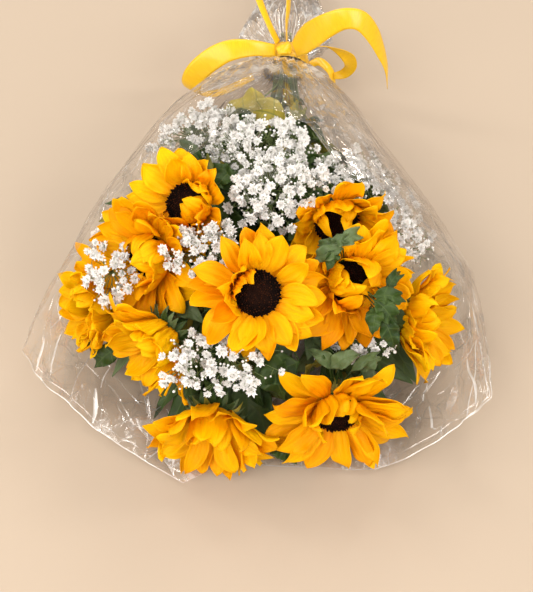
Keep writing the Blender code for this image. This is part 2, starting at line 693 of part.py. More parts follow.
def parted(lines, radii, heads):
    """The stems' lines bent apart where two come too near, or where one comes too near a head.

    The first two points of a line stay in the tie, and the last two at its head.
    """
    corners = [np.array(line) for line in lines]
    count = len(lines[0])
    places = np.linspace(0, count - 1, 10 * count)
    weights = np.clip(1 - np.abs(places[:, None] - np.arange(count)[None, :]), 0, 1)
    pulls = weights * np.array([0, 0] + [1] * (count - 4) + [0, 0])
    for _ in range(PARTING_ROUNDS):
        for i in range(len(lines)):
            near = [(j, corners[j], weights, radii[j]) for j in range(i + 1, len(lines))]
            near += [(None, head, np.eye(1), size) for k, (head, size) in enumerate(heads) if k != i]
            for j, other, other_weights, other_radius in near:
                gaps = (weights @ corners[i])[:, None, :] - (other_weights @ other)[None, :, :]
                far = np.sqrt((gaps ** 2).sum(axis=2))
                a, b = np.unravel_index(far.argmin(), far.shape)
                short = radii[i] + other_radius + STEM_GAP - far[a, b]
                if short <= 0:
                    continue
                push = gaps[a, b] / far[a, b] * short * PARTING_SHARE
                corners[i] += pulls[a][:, None] / max(pulls[a].max(), LEAST_PULL) * push
                if j is not None:
                    corners[j] -= pulls[b][:, None] / max(pulls[b].max(), LEAST_PULL) * push
            lowest = radii[i] + FLOOR_CLEARANCE
            corners[i][2:-2, 2] = np.maximum(corners[i][2:-2, 2], lowest)
    return [[Vector(corner) for corner in line] for line in corners]


def packed_slots(radii, aims):
    """Where each stem passes through the tie: packed side by side, each towards its own head."""
    slots = [Vector(aim) for aim in aims]
    first_pull, last_pull = PACKING_PULL
    for turn in range(PACKING_ROUNDS):
        for slot in slots:
            slot *= 1 - first_pull + (first_pull - last_pull) * turn / PACKING_ROUNDS
        for i, a in enumerate(slots):
            for j in range(i + 1, len(slots)):
                gap = slots[j] - a
                short = radii[i] + radii[j] + STEM_GAP - gap.length
                if short > 0:
                    push = gap.normalized() * short / 2
                    a -= push
                    slots[j] += push
    return [(TIE.x + slot.x, TIE.z + slot.y) for slot in slots]


def leaf_piece(root, tip, width, droop):
    """A leaf with a short stalk, from its root on a stem to its tip, with toothed edges."""
    way = (tip - root).normalized()
    reach = (tip - root).length
    side = across(way, way.cross(UP))
    face = side.cross(way)
    line, widths = [], []
    for along, share in LEAF_SHAPE:
        line.append(root + way * reach * along + face * droop * math.sin(math.pi * along))
        widths.append(max(LEAF_STALK, width * share))
    line.append(tip.copy())
    return blade(line, [side] * len(line), [face] * len(line), widths, BLADE_THICKNESS, LEAF_CHANNEL)


def fitted_leaf(owner, line, leaf):
    """A leaf of a stem, its tip moved a little where its first place isn't clear."""
    points = spread_points(line)
    root = points[int(leaf.share * (len(points) - 1))]
    ways = [Vector(way) for way in ((0, 0, -1), (1, 0, 0), (-1, 0, 0), (0, 0, 1), (0, 1, 0), (0, -1, 0),
                                    (1, 0, -1), (-1, 0, -1), (0, 1, -1), (0, -1, 1))]
    moves = [Vector()] + [way * reach for reach in LEAF_MOVES for way in ways]
    for scale in LEAF_SCALES:
        for move in moves:
            for droop in LEAF_DROOPS:
                tip = root.lerp(Vector(leaf.tip) + move, (1 + scale) / 2)
                piece = leaf_piece(root, tip, leaf.width * scale, droop)
                if is_clear(owner, *piece):
                    return piece
    return None


def floret_piece(centre, way, rng):
    """One small double flower, as a low double pyramid with a waved rim."""
    side = across(way, Vector((rng.uniform(-1, 1), rng.uniform(-1, 1), rng.uniform(-1, 1))))
    other = way.cross(side)
    size = FLORET_RADIUS * rng.uniform(*FLORET_SIZES)
    points = [centre + way * size * FLORET_HEIGHTS[0]]
    for k in range(FLORET_SIDES):
        turn = 2 * math.pi * k / FLORET_SIDES
        wave = size * rng.uniform(*FLORET_WAVE)
        points.append(centre + (side * math.cos(turn) + other * math.sin(turn)) * size + way * wave)
    points.append(centre + way * size * FLORET_HEIGHTS[1])
    faces = []
    for k in range(FLORET_SIDES):
        a, b = 1 + k, 1 + (k + 1) % FLORET_SIDES
        faces += [(0, b, a), (a, b, FLORET_SIDES + 1)]
    return points, faces


def in_crown(spray, rng):
    """A random place in a spray's crown, most of them near its upper face."""
    spot = Vector()
    while not CROWN_HOLLOW < spot.length < 1:
        spot = Vector((rng.uniform(-1, 1), rng.uniform(-1, 1), rng.uniform(CROWN_LOWEST, 1)))
    return Vector(spray.crown) + spot * Vector(spray.spread)


def spray_hub(spray):
    """Where a spray's stem ends and its branches part: back from the crown towards the tie."""
    crown = Vector(spray.crown)
    back = ((TIE - crown).normalized() - UP * CROWN_HOLLOW).normalized()
    return crown + back * max(spray.spread) * HUB_SHARE


def spray_pieces(spray, line, rng):
    """A spray: its stem, a few branches, and florets on fine twigs, each placed clear of all else.

    The florets stand in small clusters: a twig carries the first, and the others grow from it.
    """
    owner = f"spray_{spray.name}"
    pieces = [tube(line, SPRAY_STEM_RADIUS, SPRAY_STEM_SIDES)]
    hub = line[-1]
    forks = []
    for _ in range(BRANCHES * BRANCH_TRIES):
        spot = hub.lerp(in_crown(spray, rng), BRANCH_SHARE)
        piece = tube([hub, spot], BRANCH_RADIUS, 3)
        if len(forks) < BRANCHES and is_clear(owner, *piece):
            pieces.append(piece)
            forks.append(spot)
    spots, ways = [], []
    for _ in range(spray.florets * FLORET_TRIES if forks else 0):
        if len(spots) == spray.florets:
            break
        added = []
        if len(spots) % CLUSTER:
            before, faced = spots[-1], ways[-1]
            spot = before + across(faced, in_crown(spray, rng) - before) * FLORET_RADIUS * PARTNER_REACH
            others = spots[:-1]
        else:
            spot = in_crown(spray, rng)
            others = spots
            fork = min(forks, key=lambda f: (f - spot).length)
            added.append(tube([fork, spot], TWIG_RADIUS, 3))
        if any((spot - other).length < FLORET_RADIUS * FLORET_ROOM for other in others):
            continue
        way = ((spot - hub).normalized() + FLORET_LEAN).normalized()
        added.append(floret_piece(spot, way, rng))
        if all(is_clear(owner, *piece) for piece in added):
            pieces += added
            spots.append(spot)
            ways.append(way)
    return pieces


def between(rows, value):
    """Straight interpolation in rows that start with the value they are for."""
    for low, high in zip(rows, rows[1:]):
        if low[0] <= value <= high[0]:
            share = (value - low[0]) / (high[0] - low[0])
            return [a + (b - a) * share for a, b in zip(low[1:], high[1:])]
    return list(rows[0][1:] if value < rows[0][0] else rows[-1][1:])


def film_point(turn, ahead, pleat=0.0):
    """A point of the film's outer face: degrees from +X over the top, and metres ahead of the tie."""
    centre, half, side, top, bottom = between(FILM_SECTIONS, ahead)
    c, s = math.cos(math.radians(turn)), math.sin(math.radians(turn))
    gathered = max(0.0, 1.0 - abs(ahead) / GATHER_REACH)
    deep = pleat * PLEAT_DEPTH * (OPEN_PLEAT + (1 - OPEN_PLEAT) * gathered)
    if s >= 0:
        z = side + (top - side + deep) * s
    else:
        drop = min(1.0, -s * FLAT_UNDERSIDE) if bottom < LYING_UNDER else -s
        z = side - (side - bottom + deep * gathered) * drop
    return Vector((centre + (half + deep) * c, TIE.y - ahead, max(z, 0.0)))


def film_piece():
    """The film's outer face: a crumpled tail, the gathered neck and a skirt open at the front."""
    turns = [-90 + 360 * k / FILM_SIDES for k in range(FILM_SIDES)]
    rows = [[film_point(turn, ahead, (-1) ** k) for k, turn in enumerate(turns)] for ahead in TAIL_STEPS]
    for share in SKIRT_SHARES:
        rows.append([film_point(turn, between(MOUTH, turn)[0] * share, (-1) ** k)
                     for k, turn in enumerate(turns)])
    points = [p for row in rows for p in row]
    faces = []
    for row in range(len(rows) - 1):
        for k in range(FILM_SIDES):
            a, b = row * FILM_SIDES + k, row * FILM_SIDES + (k + 1) % FILM_SIDES
            faces += [(a, b, b + FILM_SIDES), (a, b + FILM_SIDES, a + FILM_SIDES)]
    return points, faces


def build_film():
    """The film wrap, thickened inwards."""
    points, faces = film_piece()
    film = mesh_object("film_wrap", points, faces, CLEAR_FILM)
    if film.data.polygons[0].normal.dot(Vector((0, 0, 1))) > 0:
        film.data.flip_normals()
    wall = film.modifiers.new("wall", "SOLIDIFY")
    wall.thickness = FILM_THICKNESS
    wall.offset = -1.0
    wall.use_even_offset = False
    graph = bpy.context.evaluated_depsgraph_get()
    solid = bpy.data.meshes.new_from_object(film.evaluated_get(graph))
    film.modifiers.clear()
    film.data = solid
    solid.name = "film_wrap"
    add_obstacle(film.name, *shape_of(film))
    shade(film, SHARP_FILM)


def ring_piece(radius, thickness, width, sides):
    """A plain band round the tie, from its inner radius outwards."""
    points, faces = [], []
    for k in range(sides):
        turn = 2 * math.pi * k / sides
        way = Vector((math.cos(turn), 0.0, math.sin(turn)))
        for out, back in ((0, -1), (1, -1), (1, 1), (0, 1)):
            points.append(TIE + way * (radius + thickness * out) - FORWARD * back * width / 2)
    for k in range(sides):
        a, b = 4 * k, 4 * ((k + 1) % sides)
        for j in range(4):
            faces.append((a + j, a + (j + 1) % 4, b + (j + 1) % 4, b + j))
    return points, faces


def smooth_line(points, steps):
    """More points along the smooth curve through a list of points."""
    found = []
    for i in range(len(points) - 1):
        a, b = points[max(i - 1, 0)], points[i]
        c, d = points[i + 1], points[min(i + 2, len(points) - 1)]
        for k in range(steps):
            t = k / steps
            found.append(0.5 * (2 * b + (c - a) * t + (2 * a - 5 * b + 4 * c - d) * t * t
                                + (3 * b - a - 3 * c + d) * t ** 3))
    return found + [points[-1].copy()]


def strip_piece(line, first_face, last_face, widths):
    """A ribbon strip: a flat band along a line, its face turning from the first way to the last."""
    route = smooth_line([Vector(p) for p in line], RIBBON_STEPS)
    points, faces = [], []
    last = len(route) - 1
    for i, centre in enumerate(route):
        share = i / last
        ahead = (route[min(i + 1, last)] - route[max(i - 1, 0)]).normalized()
        face = across(ahead, Vector(first_face).lerp(Vector(last_face), share))
        side = ahead.cross(face)
        place = share * (len(widths) - 1)
        low = min(int(place), len(widths) - 2)
        half = RIBBON_WIDTH * (widths[low] + (widths[low + 1] - widths[low]) * (place - low)) / 2
        for a, b in ((-1, -1), (1, -1), (1, 1), (-1, 1)):
            points.append(centre + side * half * a + face * RIBBON_THICKNESS / 2 * b)
    for i in range(last):
        a = 4 * i
        for j in range(4):
            p, q = a + j, a + (j + 1) % 4
            faces += [(p, q, q + 4), (p, q + 4, p + 4)]
    faces += [(0, 1, 2, 3), (4 * last, 4 * last + 1, 4 * last + 2, 4 * last + 3)]
    return points, faces


def build_ribbon():
    """The ribbon: turns round the neck with a knot, and the loops and tails that leave it."""
    turns = ring_piece(RIBBON_TURN_RADIUS, RIBBON_TURN_THICKNESS, RIBBON_TURN_WIDTH, RIBBON_TURN_SIDES)
    knot = turned(KNOT, UP, Vector((1, 0, 0)), KNOT_PROFILE, KNOT_SIDES)
    tie = fused("ribbon_tie", [turns, knot], SATIN_YELLOW)
    shade(tie)
    add_obstacle(tie.name, *shape_of(tie))
    for name, (line, first_face, last_face, widths) in RIBBON_STRIPS.items():
        strip = mesh_object(name, *strip_piece(line, first_face, last_face, widths), SATIN_YELLOW)
        add_obstacle(name, *shape_of(strip))
        shade(strip, SHARP_STRIP)


def build_flowers():
    """The stems and heads of the sunflowers, then their rays, leaves and the sprays between."""
    bases, heads = [], []
    for bloom in BLOOMS:
        centre, facing, _, _ = head_frame(bloom)
        bases.append((centre - facing * (PLATE_THICKNESS + CUP_DEPTH), facing, STEM_RADIUS))
        heads.append((np.array([centre - facing * HEAD_MIDDLE]), HEAD_REACH))
    for spray in SPRAYS:
        hub = spray_hub(spray)
        bases.append((hub, (Vector(spray.crown) - hub).normalized(), SPRAY_STEM_RADIUS))
    aims = [Vector((base.x - TIE.x, base.z - TIE.z)) * PACKING_AIM / (TIE.y - base.y)
            for base, _, _ in bases]
    slots = packed_slots([radius for _, _, radius in bases], aims)
    widest = max(math.hypot(x - TIE.x, z - TIE.z) + r for (x, z), (_, _, r) in zip(slots, bases))
    laid, routes = [], []
    for number, ((base, facing, radius), slot) in enumerate(zip(bases, slots)):
        others = [head for k, head in enumerate(heads) if k != number]
        line = pick_route(slot, base, facing, radius, laid, others)
        laid.append((np.array(spread_points(line)), radius))
        routes.append(line)
    routes = parted(routes, [radius for _, _, radius in bases], heads)
    stems = []
    for bloom, line in zip(BLOOMS, routes):
        pieces = [cup_piece(bloom), tube(line, STEM_RADIUS, STEM_SIDES)]
        stems.append(pieces)
        for piece in pieces:
            add_obstacle(f"{bloom.name}_stem", *piece)
        disc = disc_piece(bloom)
        add_obstacle(f"{bloom.name}_disc", *disc)
        shade(mesh_object(f"{bloom.name}_disc", *disc, DISC_BROWN), SHARP_DISC)
    for spray, line in zip(SPRAYS, routes[len(BLOOMS):]):
        add_obstacle(f"spray_{spray.name}", *tube(line, SPRAY_STEM_RADIUS, SPRAY_STEM_SIDES))
    for bloom, pieces in zip(BLOOMS, stems):
        for number in range(BRACTS):
            for lift in BRACT_LIFTS[number % 2]:
                piece = bract_piece(bloom, number, lift)
                if is_clear(f"{bloom.name}_stem", *piece):
                    pieces.append(piece)
                    add_obstacle(f"{bloom.name}_stem", *piece)
                    break
    inner = widest + CLEAR
    ring = ring_piece(inner, BINDING_RADIUS - inner, BINDING_WIDTH, BINDING_SIDES)
    binding = mesh_object("stem_binding", *ring, BINDING_BUFF)
    add_obstacle(binding.name, *ring)
    shade(binding, SHARP_BINDING)
    for number, bloom in enumerate(BLOOMS):
        name = f"{bloom.name}_rays"
        rays = corolla(bloom, random.Random(RAY_SEED + number))
        add_obstacle(name, *rays)
        shade(mesh_object(name, *rays, RAY_YELLOW))
    for bloom, line, pieces in zip(BLOOMS, routes, stems):
        name = f"{bloom.name}_stem"
        for leaf in bloom.leaves:
            piece = fitted_leaf(name, line, leaf)
            if piece:
                pieces.append(piece)
                add_obstacle(name, *piece)
        shade(fused(name, pieces, LEAF_GREEN))
    for number, (spray, line) in enumerate(zip(SPRAYS, routes[len(BLOOMS):])):
        name = f"spray_{spray.name}"
        pieces = spray_pieces(spray, line, random.Random(SPRAY_SEED + number))
        for piece in pieces[1:]:
            add_obstacle(name, *piece)
        shade(fused(name, pieces, FLORET_WHITE))


def main():
    """Builds the film and ribbon first, because the flowers keep clear of them."""
    clear_scene()
    build_film()
    build_ribbon()
    build_flowers()


main()
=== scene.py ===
"""Looks of a tied bouquet: sunflowers, baby's breath and leaves in clear film with a satin ribbon.

Metres, +Z up, in the solid model's frame. Petals, bracts, leaves and stems follow lines read off
the solids that they stand for. The film and the ribbon repeat the few sizes that shape them.
"""

import heapq
import logging
import math
import random
from dataclasses import dataclass, field
from enum import Enum
from functools import lru_cache

import bpy
import numpy as np
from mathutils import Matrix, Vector
from mathutils.bvhtree import BVHTree
from mathutils.geometry import delaunay_2d_cdt

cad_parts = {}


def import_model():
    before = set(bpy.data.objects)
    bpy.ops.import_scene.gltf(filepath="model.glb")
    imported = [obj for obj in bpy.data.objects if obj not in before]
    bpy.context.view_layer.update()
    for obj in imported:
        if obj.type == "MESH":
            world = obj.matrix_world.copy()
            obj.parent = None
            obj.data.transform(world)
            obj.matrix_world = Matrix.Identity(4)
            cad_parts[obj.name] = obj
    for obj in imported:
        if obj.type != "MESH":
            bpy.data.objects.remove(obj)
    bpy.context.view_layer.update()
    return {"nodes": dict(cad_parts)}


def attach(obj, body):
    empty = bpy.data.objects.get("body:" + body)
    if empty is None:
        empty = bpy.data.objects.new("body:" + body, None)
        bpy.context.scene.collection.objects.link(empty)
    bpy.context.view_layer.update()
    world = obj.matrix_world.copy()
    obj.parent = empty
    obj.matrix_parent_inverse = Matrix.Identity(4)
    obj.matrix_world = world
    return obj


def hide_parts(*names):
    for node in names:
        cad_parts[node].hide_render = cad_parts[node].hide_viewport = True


LOG = logging.getLogger("bouquet")
Array = np.ndarray
Surface = tuple[Array, Array]
Pair = tuple[float, float]
Triple = tuple[float, float, float]
Draw = random.Random
Socket = bpy.types.NodeSocket
Material = bpy.types.Material
UP = np.array((0.0, 0.0, 1.0))
FORWARD = np.array((0.0, -1.0, 0.0))
WELD = 1e-5
TIP_RADIUS = 1e-5
SIDE_VEINS = 26.0
VEIN_SLANT = 2.4
FULL_TURN = 2 * math.pi
FLOOR_CLEARANCE = 0.0007
GOLDEN_ANGLE = math.pi * (3 - math.sqrt(5))
TIE = np.array((0.022, 0.290, 0.055))
BLOOMS = ("centre", "front_right", "front_left", "upper_right", "far_right", "lower_left",
          "middle_left", "far_left", "top_left", "top_right")


class Slot(Enum):
    """The record's material slots."""

    RAY = "ray_yellow"
    DISC = "disc_brown"
    GREEN = "leaf_green"
    FLORET = "floret_white"
    FILM = "clear_film"
    SATIN = "satin_yellow"
    TWINE = "binding_buff"


class Layer(Enum):
    """Where a ray grows on the rim of its head."""

    OUTER = 0
    INNER = 1


def unit(way: Array) -> Array:
    """The direction of a vector."""
    return way / max(float(np.linalg.norm(way)), 1e-12)


def square_to(way: Array, towards: Array) -> Array:
    """The unit part of one direction that is square to another."""
    return unit(towards - way * float(np.dot(way, towards)))


def units(ways: Array) -> Array:
    """The directions of rows of vectors."""
    return ways / np.maximum(np.linalg.norm(ways, axis=-1, keepdims=True), 1e-12)


def any_side(way: Array) -> Array:
    """A direction square to another."""
    return square_to(way, UP if abs(way[2]) < 0.9 else FORWARD)


def around(side: Array, other: Array, turn: float) -> Array:
    """The direction at an angle from one direction towards another."""
    return side * math.cos(turn) + other * math.sin(turn)


def ring(side: Array, other: Array, sides: int) -> Array:
    """Directions spread evenly round, from one direction towards another."""
    turn = 2 * np.pi * np.arange(sides) / sides
    return np.outer(np.cos(turn), side) + np.outer(np.sin(turn), other)


def turned_about(points: Array, centre: Array, axis: Array, angle: float) -> Array:
    """Points turned about an axis.

    Args:
        points: Rows of points.
        centre: A point on the axis.
        axis: The axis's direction.
        angle: The turn, in radians.

    Returns:
        The turned rows.
    """
    arms = points - centre
    along = (arms @ axis)[:, None] * axis
    return centre + along + (arms - along) * math.cos(angle) + np.cross(axis, arms) * math.sin(angle)


def smooth_path(points: Array, count: int) -> Array:
    """Evenly spread points on the smooth curve through a few points.

    Args:
        points: The points to pass through, one in each row.
        count: How many points to give.

    Returns:
        The new rows of points.
    """
    knots = np.vstack([2 * points[0] - points[1], points, 2 * points[-1] - points[-2]])
    share = np.linspace(0, 1, 10, endpoint=False)[:, None]
    dense = []
    for a, b, c, d in zip(knots, knots[1:], knots[2:], knots[3:]):
        dense.append(0.5 * (2 * b + (c - a) * share + (2 * a - 5 * b + 4 * c - d) * share ** 2
                            + (3 * b - a - 3 * c + d) * share ** 3))
    path = np.vstack(dense + [points[-1:]])
    run = np.concatenate([[0.0], np.cumsum(np.linalg.norm(np.diff(path, axis=0), axis=1))])
    wanted = np.linspace(0, run[-1], count)
    return np.column_stack([np.interp(wanted, run, path[:, i]) for i in range(3)])


@lru_cache(maxsize=None)
def grid_faces(rows: int, columns: int) -> Array:
    """The four-sided faces of a grid of points, row by row."""
    first = (np.arange(rows - 1)[:, None] * columns + np.arange(columns - 1)[None, :]).ravel()
    return np.column_stack([first, first + 1, first + columns + 1, first + columns])


@lru_cache(maxsize=None)
def shell_faces(rows: int, columns: int) -> Array:
    """The faces of a grid with a second grid behind it, joined round the border."""
    front = grid_faces(rows, columns)
    back = front[:, ::-1] + rows * columns
    index = np.arange(rows * columns).reshape(rows, columns)
    border = np.concatenate([index[0], index[1:, -1], index[-1, -2::-1], index[-2:0:-1, 0]])
    after = np.roll(border, -1)
    rim = np.column_stack([after, border, border + rows * columns, after + rows * columns])
    return np.concatenate([front, back, rim])


@lru_cache(maxsize=None)
def tube_faces(rows: int, sides: int) -> Array:
    """The faces of rings of points round a tube."""
    ring, place = np.divmod(np.arange((rows - 1) * sides), sides)
    here = ring * sides + place
    after = ring * sides + (place + 1) % sides
    return np.column_stack([here, after, after + sides, here + sides])


def shell(grid: Array, thickness: float) -> Surface:
    """A closed thin sheet from a grid of points.

    Args:
        grid: Points as rows by columns by three.
        thickness: The sheet's thickness.

    Returns:
        Its points and its faces.
    """
    rows, columns, _ = grid.shape
    normal = units(np.cross(np.gradient(grid, axis=0), np.gradient(grid, axis=1)))
    front = (grid - normal * thickness / 2).reshape(-1, 3)
    back = (grid + normal * thickness / 2).reshape(-1, 3)
    return np.concatenate([front, back]), shell_faces(rows, columns)


def tube(path: Array, radii: Array, sides: int) -> Surface:
    """A round tube along a path, with its ends drawn in to a point.

    Args:
        path: The middle line's points.
        radii: The radius at each point.
        sides: How many sides the tube has.

    Returns:
        Its points and its faces.
    """
    ways = units(np.gradient(path, axis=0))
    side = any_side(ways[0])
    rings = []
    path = np.vstack([path[:1], path, path[-1:]])
    ways = np.vstack([ways[:1], ways, ways[-1:]])
    radii = np.concatenate([[TIP_RADIUS], radii, [TIP_RADIUS]])
    for spot, way, radius in zip(path, ways, radii):
        side = square_to(way, side)
        rings.append(spot + ring(side, np.cross(way, side), sides) * radius)
    return np.vstack(rings), tube_faces(len(path), sides)


def turned_solid(origin: Array, axis: Array, side: Array, profile: Array, sides: int) -> Surface:
    """A solid turned about an axis.

    Args:
        origin: The point that heights are measured from.
        axis: The axis's direction.
        side: Where the first side points.
        profile: Rows of radius and height, from one end to the other.
        sides: How many sides it has.

    Returns:
        Its points and its faces.
    """
    ways = ring(side, np.cross(axis, side), sides)
    rings = [origin + axis * height + ways * max(radius, TIP_RADIUS) for radius, height in profile]
    return np.vstack(rings), tube_faces(len(profile), sides)


def blade_ways(path: Array, sides: Array) -> Surface:
    """The directions to a blade's side, made square to its line, and to its face, at each point of the line."""
    ways = units(np.gradient(path, axis=0))
    sides = units(sides - ways * (sides * ways).sum(axis=1, keepdims=True))
    return sides, np.cross(sides, ways)


def twisted(sides: Array, faces: Array, turn: Array) -> Surface:
    """The side and face directions of a blade turned about its line, by an angle for each row."""
    c, s = np.cos(turn)[:, None], np.sin(turn)[:, None]
    return sides * c + faces * s, faces * c - sides * s


def blade_grid(path: Array, sides: Array, half: Array, faces: Array, lift: Array) -> Array:
    """A blade's rows by columns of points, from how far each lies to the side of its line and over it."""
    return path[:, None, :] + sides[:, None, :] * half[..., None] + faces[:, None, :] * lift[..., None]


def blade_values(rows: int, columns: int) -> dict[str, Array]:
    """How far along and over its blade each point of a shell lies."""
    return {"along": np.tile(np.repeat(np.linspace(0, 1, rows), columns), 2),
            "over": np.tile(np.linspace(-1, 1, columns), 2 * rows)}


def drawn(rng: Draw, reach: float) -> Array:
    """A vector of three random numbers, each within a reach of nothing."""
    return np.array([rng.uniform(-reach, reach) for _ in range(3)])


def is_near(trees: list[BVHTree], spot: Array, reach: float) -> bool:
    """Whether any of the surfaces comes within a reach of a point."""
    return any(tree.find_nearest(Vector(spot), reach)[0] is not None for tree in trees)


class Mould:
    """Gathers surfaces into one mesh, with the values at each point that its finish reads."""

    def __init__(self, name: str) -> None:
        """Starts an empty mesh of a given name."""
        self.name = name
        self.points: list[Array] = []
        self.faces: list[Array] = []
        self.values: dict[str, list[Array]] = {}
        self.count = 0

    def add(self, surface: Surface, **values: Array | float) -> None:
        """Adds a surface.

        Args:
            surface: Points, and faces as rows of three or four places in them.
            values: A number for the whole surface, or one for each point.
        """
        points, faces = surface
        points = points.copy()
        points[:, 2] = np.maximum(points[:, 2], FLOOR_CLEARANCE)
        for name, value in values.items():
            self.values.setdefault(name, []).append(np.broadcast_to(value, len(points)))
        self.points.append(points)
        self.faces.append(faces + self.count)
        self.count += len(points)

    def cast(self, material: Material, slot: Slot, *nodes: str) -> bpy.types.Object:
        """Makes the object, which rides on the root and stands for the given solid nodes.

        Args:
            material: Its finish.
            slot: The record's slot that the finish belongs to; not used.
            nodes: The solid nodes that it replaces.

        Returns:
            The new object.
        """
        mesh = bpy.data.meshes.new(self.name)
        points = np.concatenate(self.points).astype(np.float32)
        sizes = np.concatenate([np.full(len(faces), faces.shape[1]) for faces in self.faces])
        corners = np.concatenate([faces.ravel() for faces in self.faces]).astype(np.int32)
        mesh.vertices.add(len(points))
        mesh.vertices.foreach_set("co", points.ravel())
        mesh.loops.add(len(corners))
        mesh.loops.foreach_set("vertex_index", corners)
        mesh.polygons.add(len(sizes))
        mesh.polygons.foreach_set("loop_start", np.concatenate([[0], np.cumsum(sizes)[:-1]]).astype(np.int32))
        mesh.update(calc_edges=True)
        for name, parts in self.values.items():
            attribute = mesh.attributes.new(name, "FLOAT", "POINT")
            attribute.data.foreach_set("value", np.concatenate(parts).astype(np.float32))
        mesh.validate()
        mesh.shade_smooth()
        mesh.materials.append(material)
        made = bpy.data.objects.new(self.name, mesh)
        bpy.context.scene.collection.objects.link(made)
        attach(made, "root")
        if nodes:
            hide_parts(*nodes)
        LOG.info("%s: %d faces", self.name, len(sizes))
        return made


@dataclass
class BladeGuide:
    """Where a petal, bract or leaf of the solid model runs, from its root to its tip."""

    line: Array
    sides: Array
    widths: Array

    @classmethod
    def even(cls, line: Array, side: Array, width: float) -> "BladeGuide":
        """A guide whose side and width stay the same along its line."""
        return cls(line, np.tile(side, (len(line), 1)), np.full(len(line), width))

    @property
    def length(self) -> float:
        """The length along the line."""
        return float(np.linalg.norm(np.diff(self.line, axis=0), axis=1).sum())

    def shifted(self, by: Array) -> "BladeGuide":
        """The same guide moved by a vector."""
        return BladeGuide(self.line + by, self.sides, self.widths)

    def shortened(self, share: float) -> "BladeGuide":
        """The same guide with that share of its length taken off."""
        root = self.line[0]
        return BladeGuide(root + (self.line - root) * (1 - share), self.sides, self.widths)


class SolidReader:
    """Reads lines off the mesh of a solid node."""

    MOST_STEPS = 400
    END_DEPTH = 1e-4

    def __init__(self, node: bpy.types.Object) -> None:
        """Joins the node's matching points and lists which ones share an edge."""
        mesh = node.data
        mesh.calc_loop_triangles()
        raw = np.empty(len(mesh.vertices) * 3, np.float32)
        mesh.vertices.foreach_get("co", raw)
        triangles = np.empty(len(mesh.loop_triangles) * 3, np.int32)
        mesh.loop_triangles.foreach_get("vertices", triangles)
        raw = raw.reshape(-1, 3).astype(np.float64)
        _, first, index = np.unique(np.round(raw / WELD).astype(np.int64), axis=0,
                                    return_index=True, return_inverse=True)
        self.points = raw[first]
        self.triangles = index.reshape(-1)[triangles].reshape(-1, 3)
        self.near: list[set[int]] = [set() for _ in self.points]
        for a, b, c in self.triangles:
            self.near[a].update((b, c))
            self.near[b].update((a, c))
            self.near[c].update((a, b))
        self.tree = BVHTree.FromPolygons([Vector(p) for p in self.points], self.triangles.tolist())

    def tips(self, start: int) -> list[int]:
        """The points that lie further along the surface from a start than all that they touch."""
        reach = np.full(len(self.points), np.inf)
        reach[start] = 0.0
        queue = [(0.0, start)]
        while queue:
            far, here = heapq.heappop(queue)
            if far > reach[here]:
                continue
            for other in self.near[here]:
                there = far + float(np.linalg.norm(self.points[other] - self.points[here]))
                if there < reach[other]:
                    reach[other] = there
                    heapq.heappush(queue, (there, other))
        return [i for i, near in enumerate(self.near) if near and all(reach[i] > reach[j] for j in near)]

    def guide(self, tip: int, most: int) -> BladeGuide:
        """Follows a four-edged blade back from its tip.

        Args:
            tip: The tip's place in the points.
            most: The most rings of four points to follow.

        Returns:
            The guide, with as many rings as were found.
        """
        line, sides, widths = [self.points[tip]], [], []
        seen, ring = {tip}, {tip}
        while len(widths) < most:
            ring = set().union(*(self.near[i] for i in ring)) - seen
            if len(ring) != 4:
                break
            seen |= ring
            corners = self.points[sorted(ring)]
            gaps = np.linalg.norm(corners[:, None] - corners[None, :], axis=2)
            a, b = np.unravel_index(gaps.argmax(), gaps.shape)
            side = unit(corners[b] - corners[a])
            if sides and np.dot(side, sides[-1]) < 0:
                side = -side
            line.append(corners.mean(axis=0))
            sides.append(side)
            widths.append(float(gaps[a, b]))
        sides = [sides[0]] + sides if sides else [UP]
        return BladeGuide(np.array(line[::-1]), np.array(sides[::-1]), np.array([0.0] + widths)[::-1])

    def cut_end(self) -> Array:
        """The middle of a stem's cut end, which lies furthest back."""
        back = self.points[:, 1]
        return self.points[back > back.max() - self.END_DEPTH].mean(axis=0)

    def walk(self, start: Array, way: Array, end: Array, step: float, widest: float) -> Array:
        """Walks along the inside of a solid stem, keeping to its middle.

        Args:
            start: A point inside its first end.
            way: The direction to set off in.
            end: Where the stem ends.
            step: The length of each step.
            widest: The most that a wall may be away, where nothing else joins the stem.

        Returns:
            The points of its middle line.
        """
        spots = [start]
        while np.linalg.norm(spots[-1] - end) > 2 * step and len(spots) < self.MOST_STEPS:
            spot = spots[-1] + way * step
            side = any_side(way)
            other = np.cross(way, side)
            shifts = []
            for turn in np.linspace(0, math.pi, 4, endpoint=False):
                arm = around(side, other, turn)
                hits = [self.tree.ray_cast(Vector(spot), Vector(arm * sign), widest)[3] for sign in (1, -1)]
                if None not in hits:
                    shifts.append(arm * (hits[0] - hits[1]) / 2)
            if shifts:
                spot = spot + np.mean(shifts, axis=0)
            way = unit(unit(spot - spots[-1]) * 0.8 + way * 0.2)
            if not shifts:
                way = unit(way + unit(end - spot) * 0.3)
            spots.append(spot)
        return np.array(spots + [end])


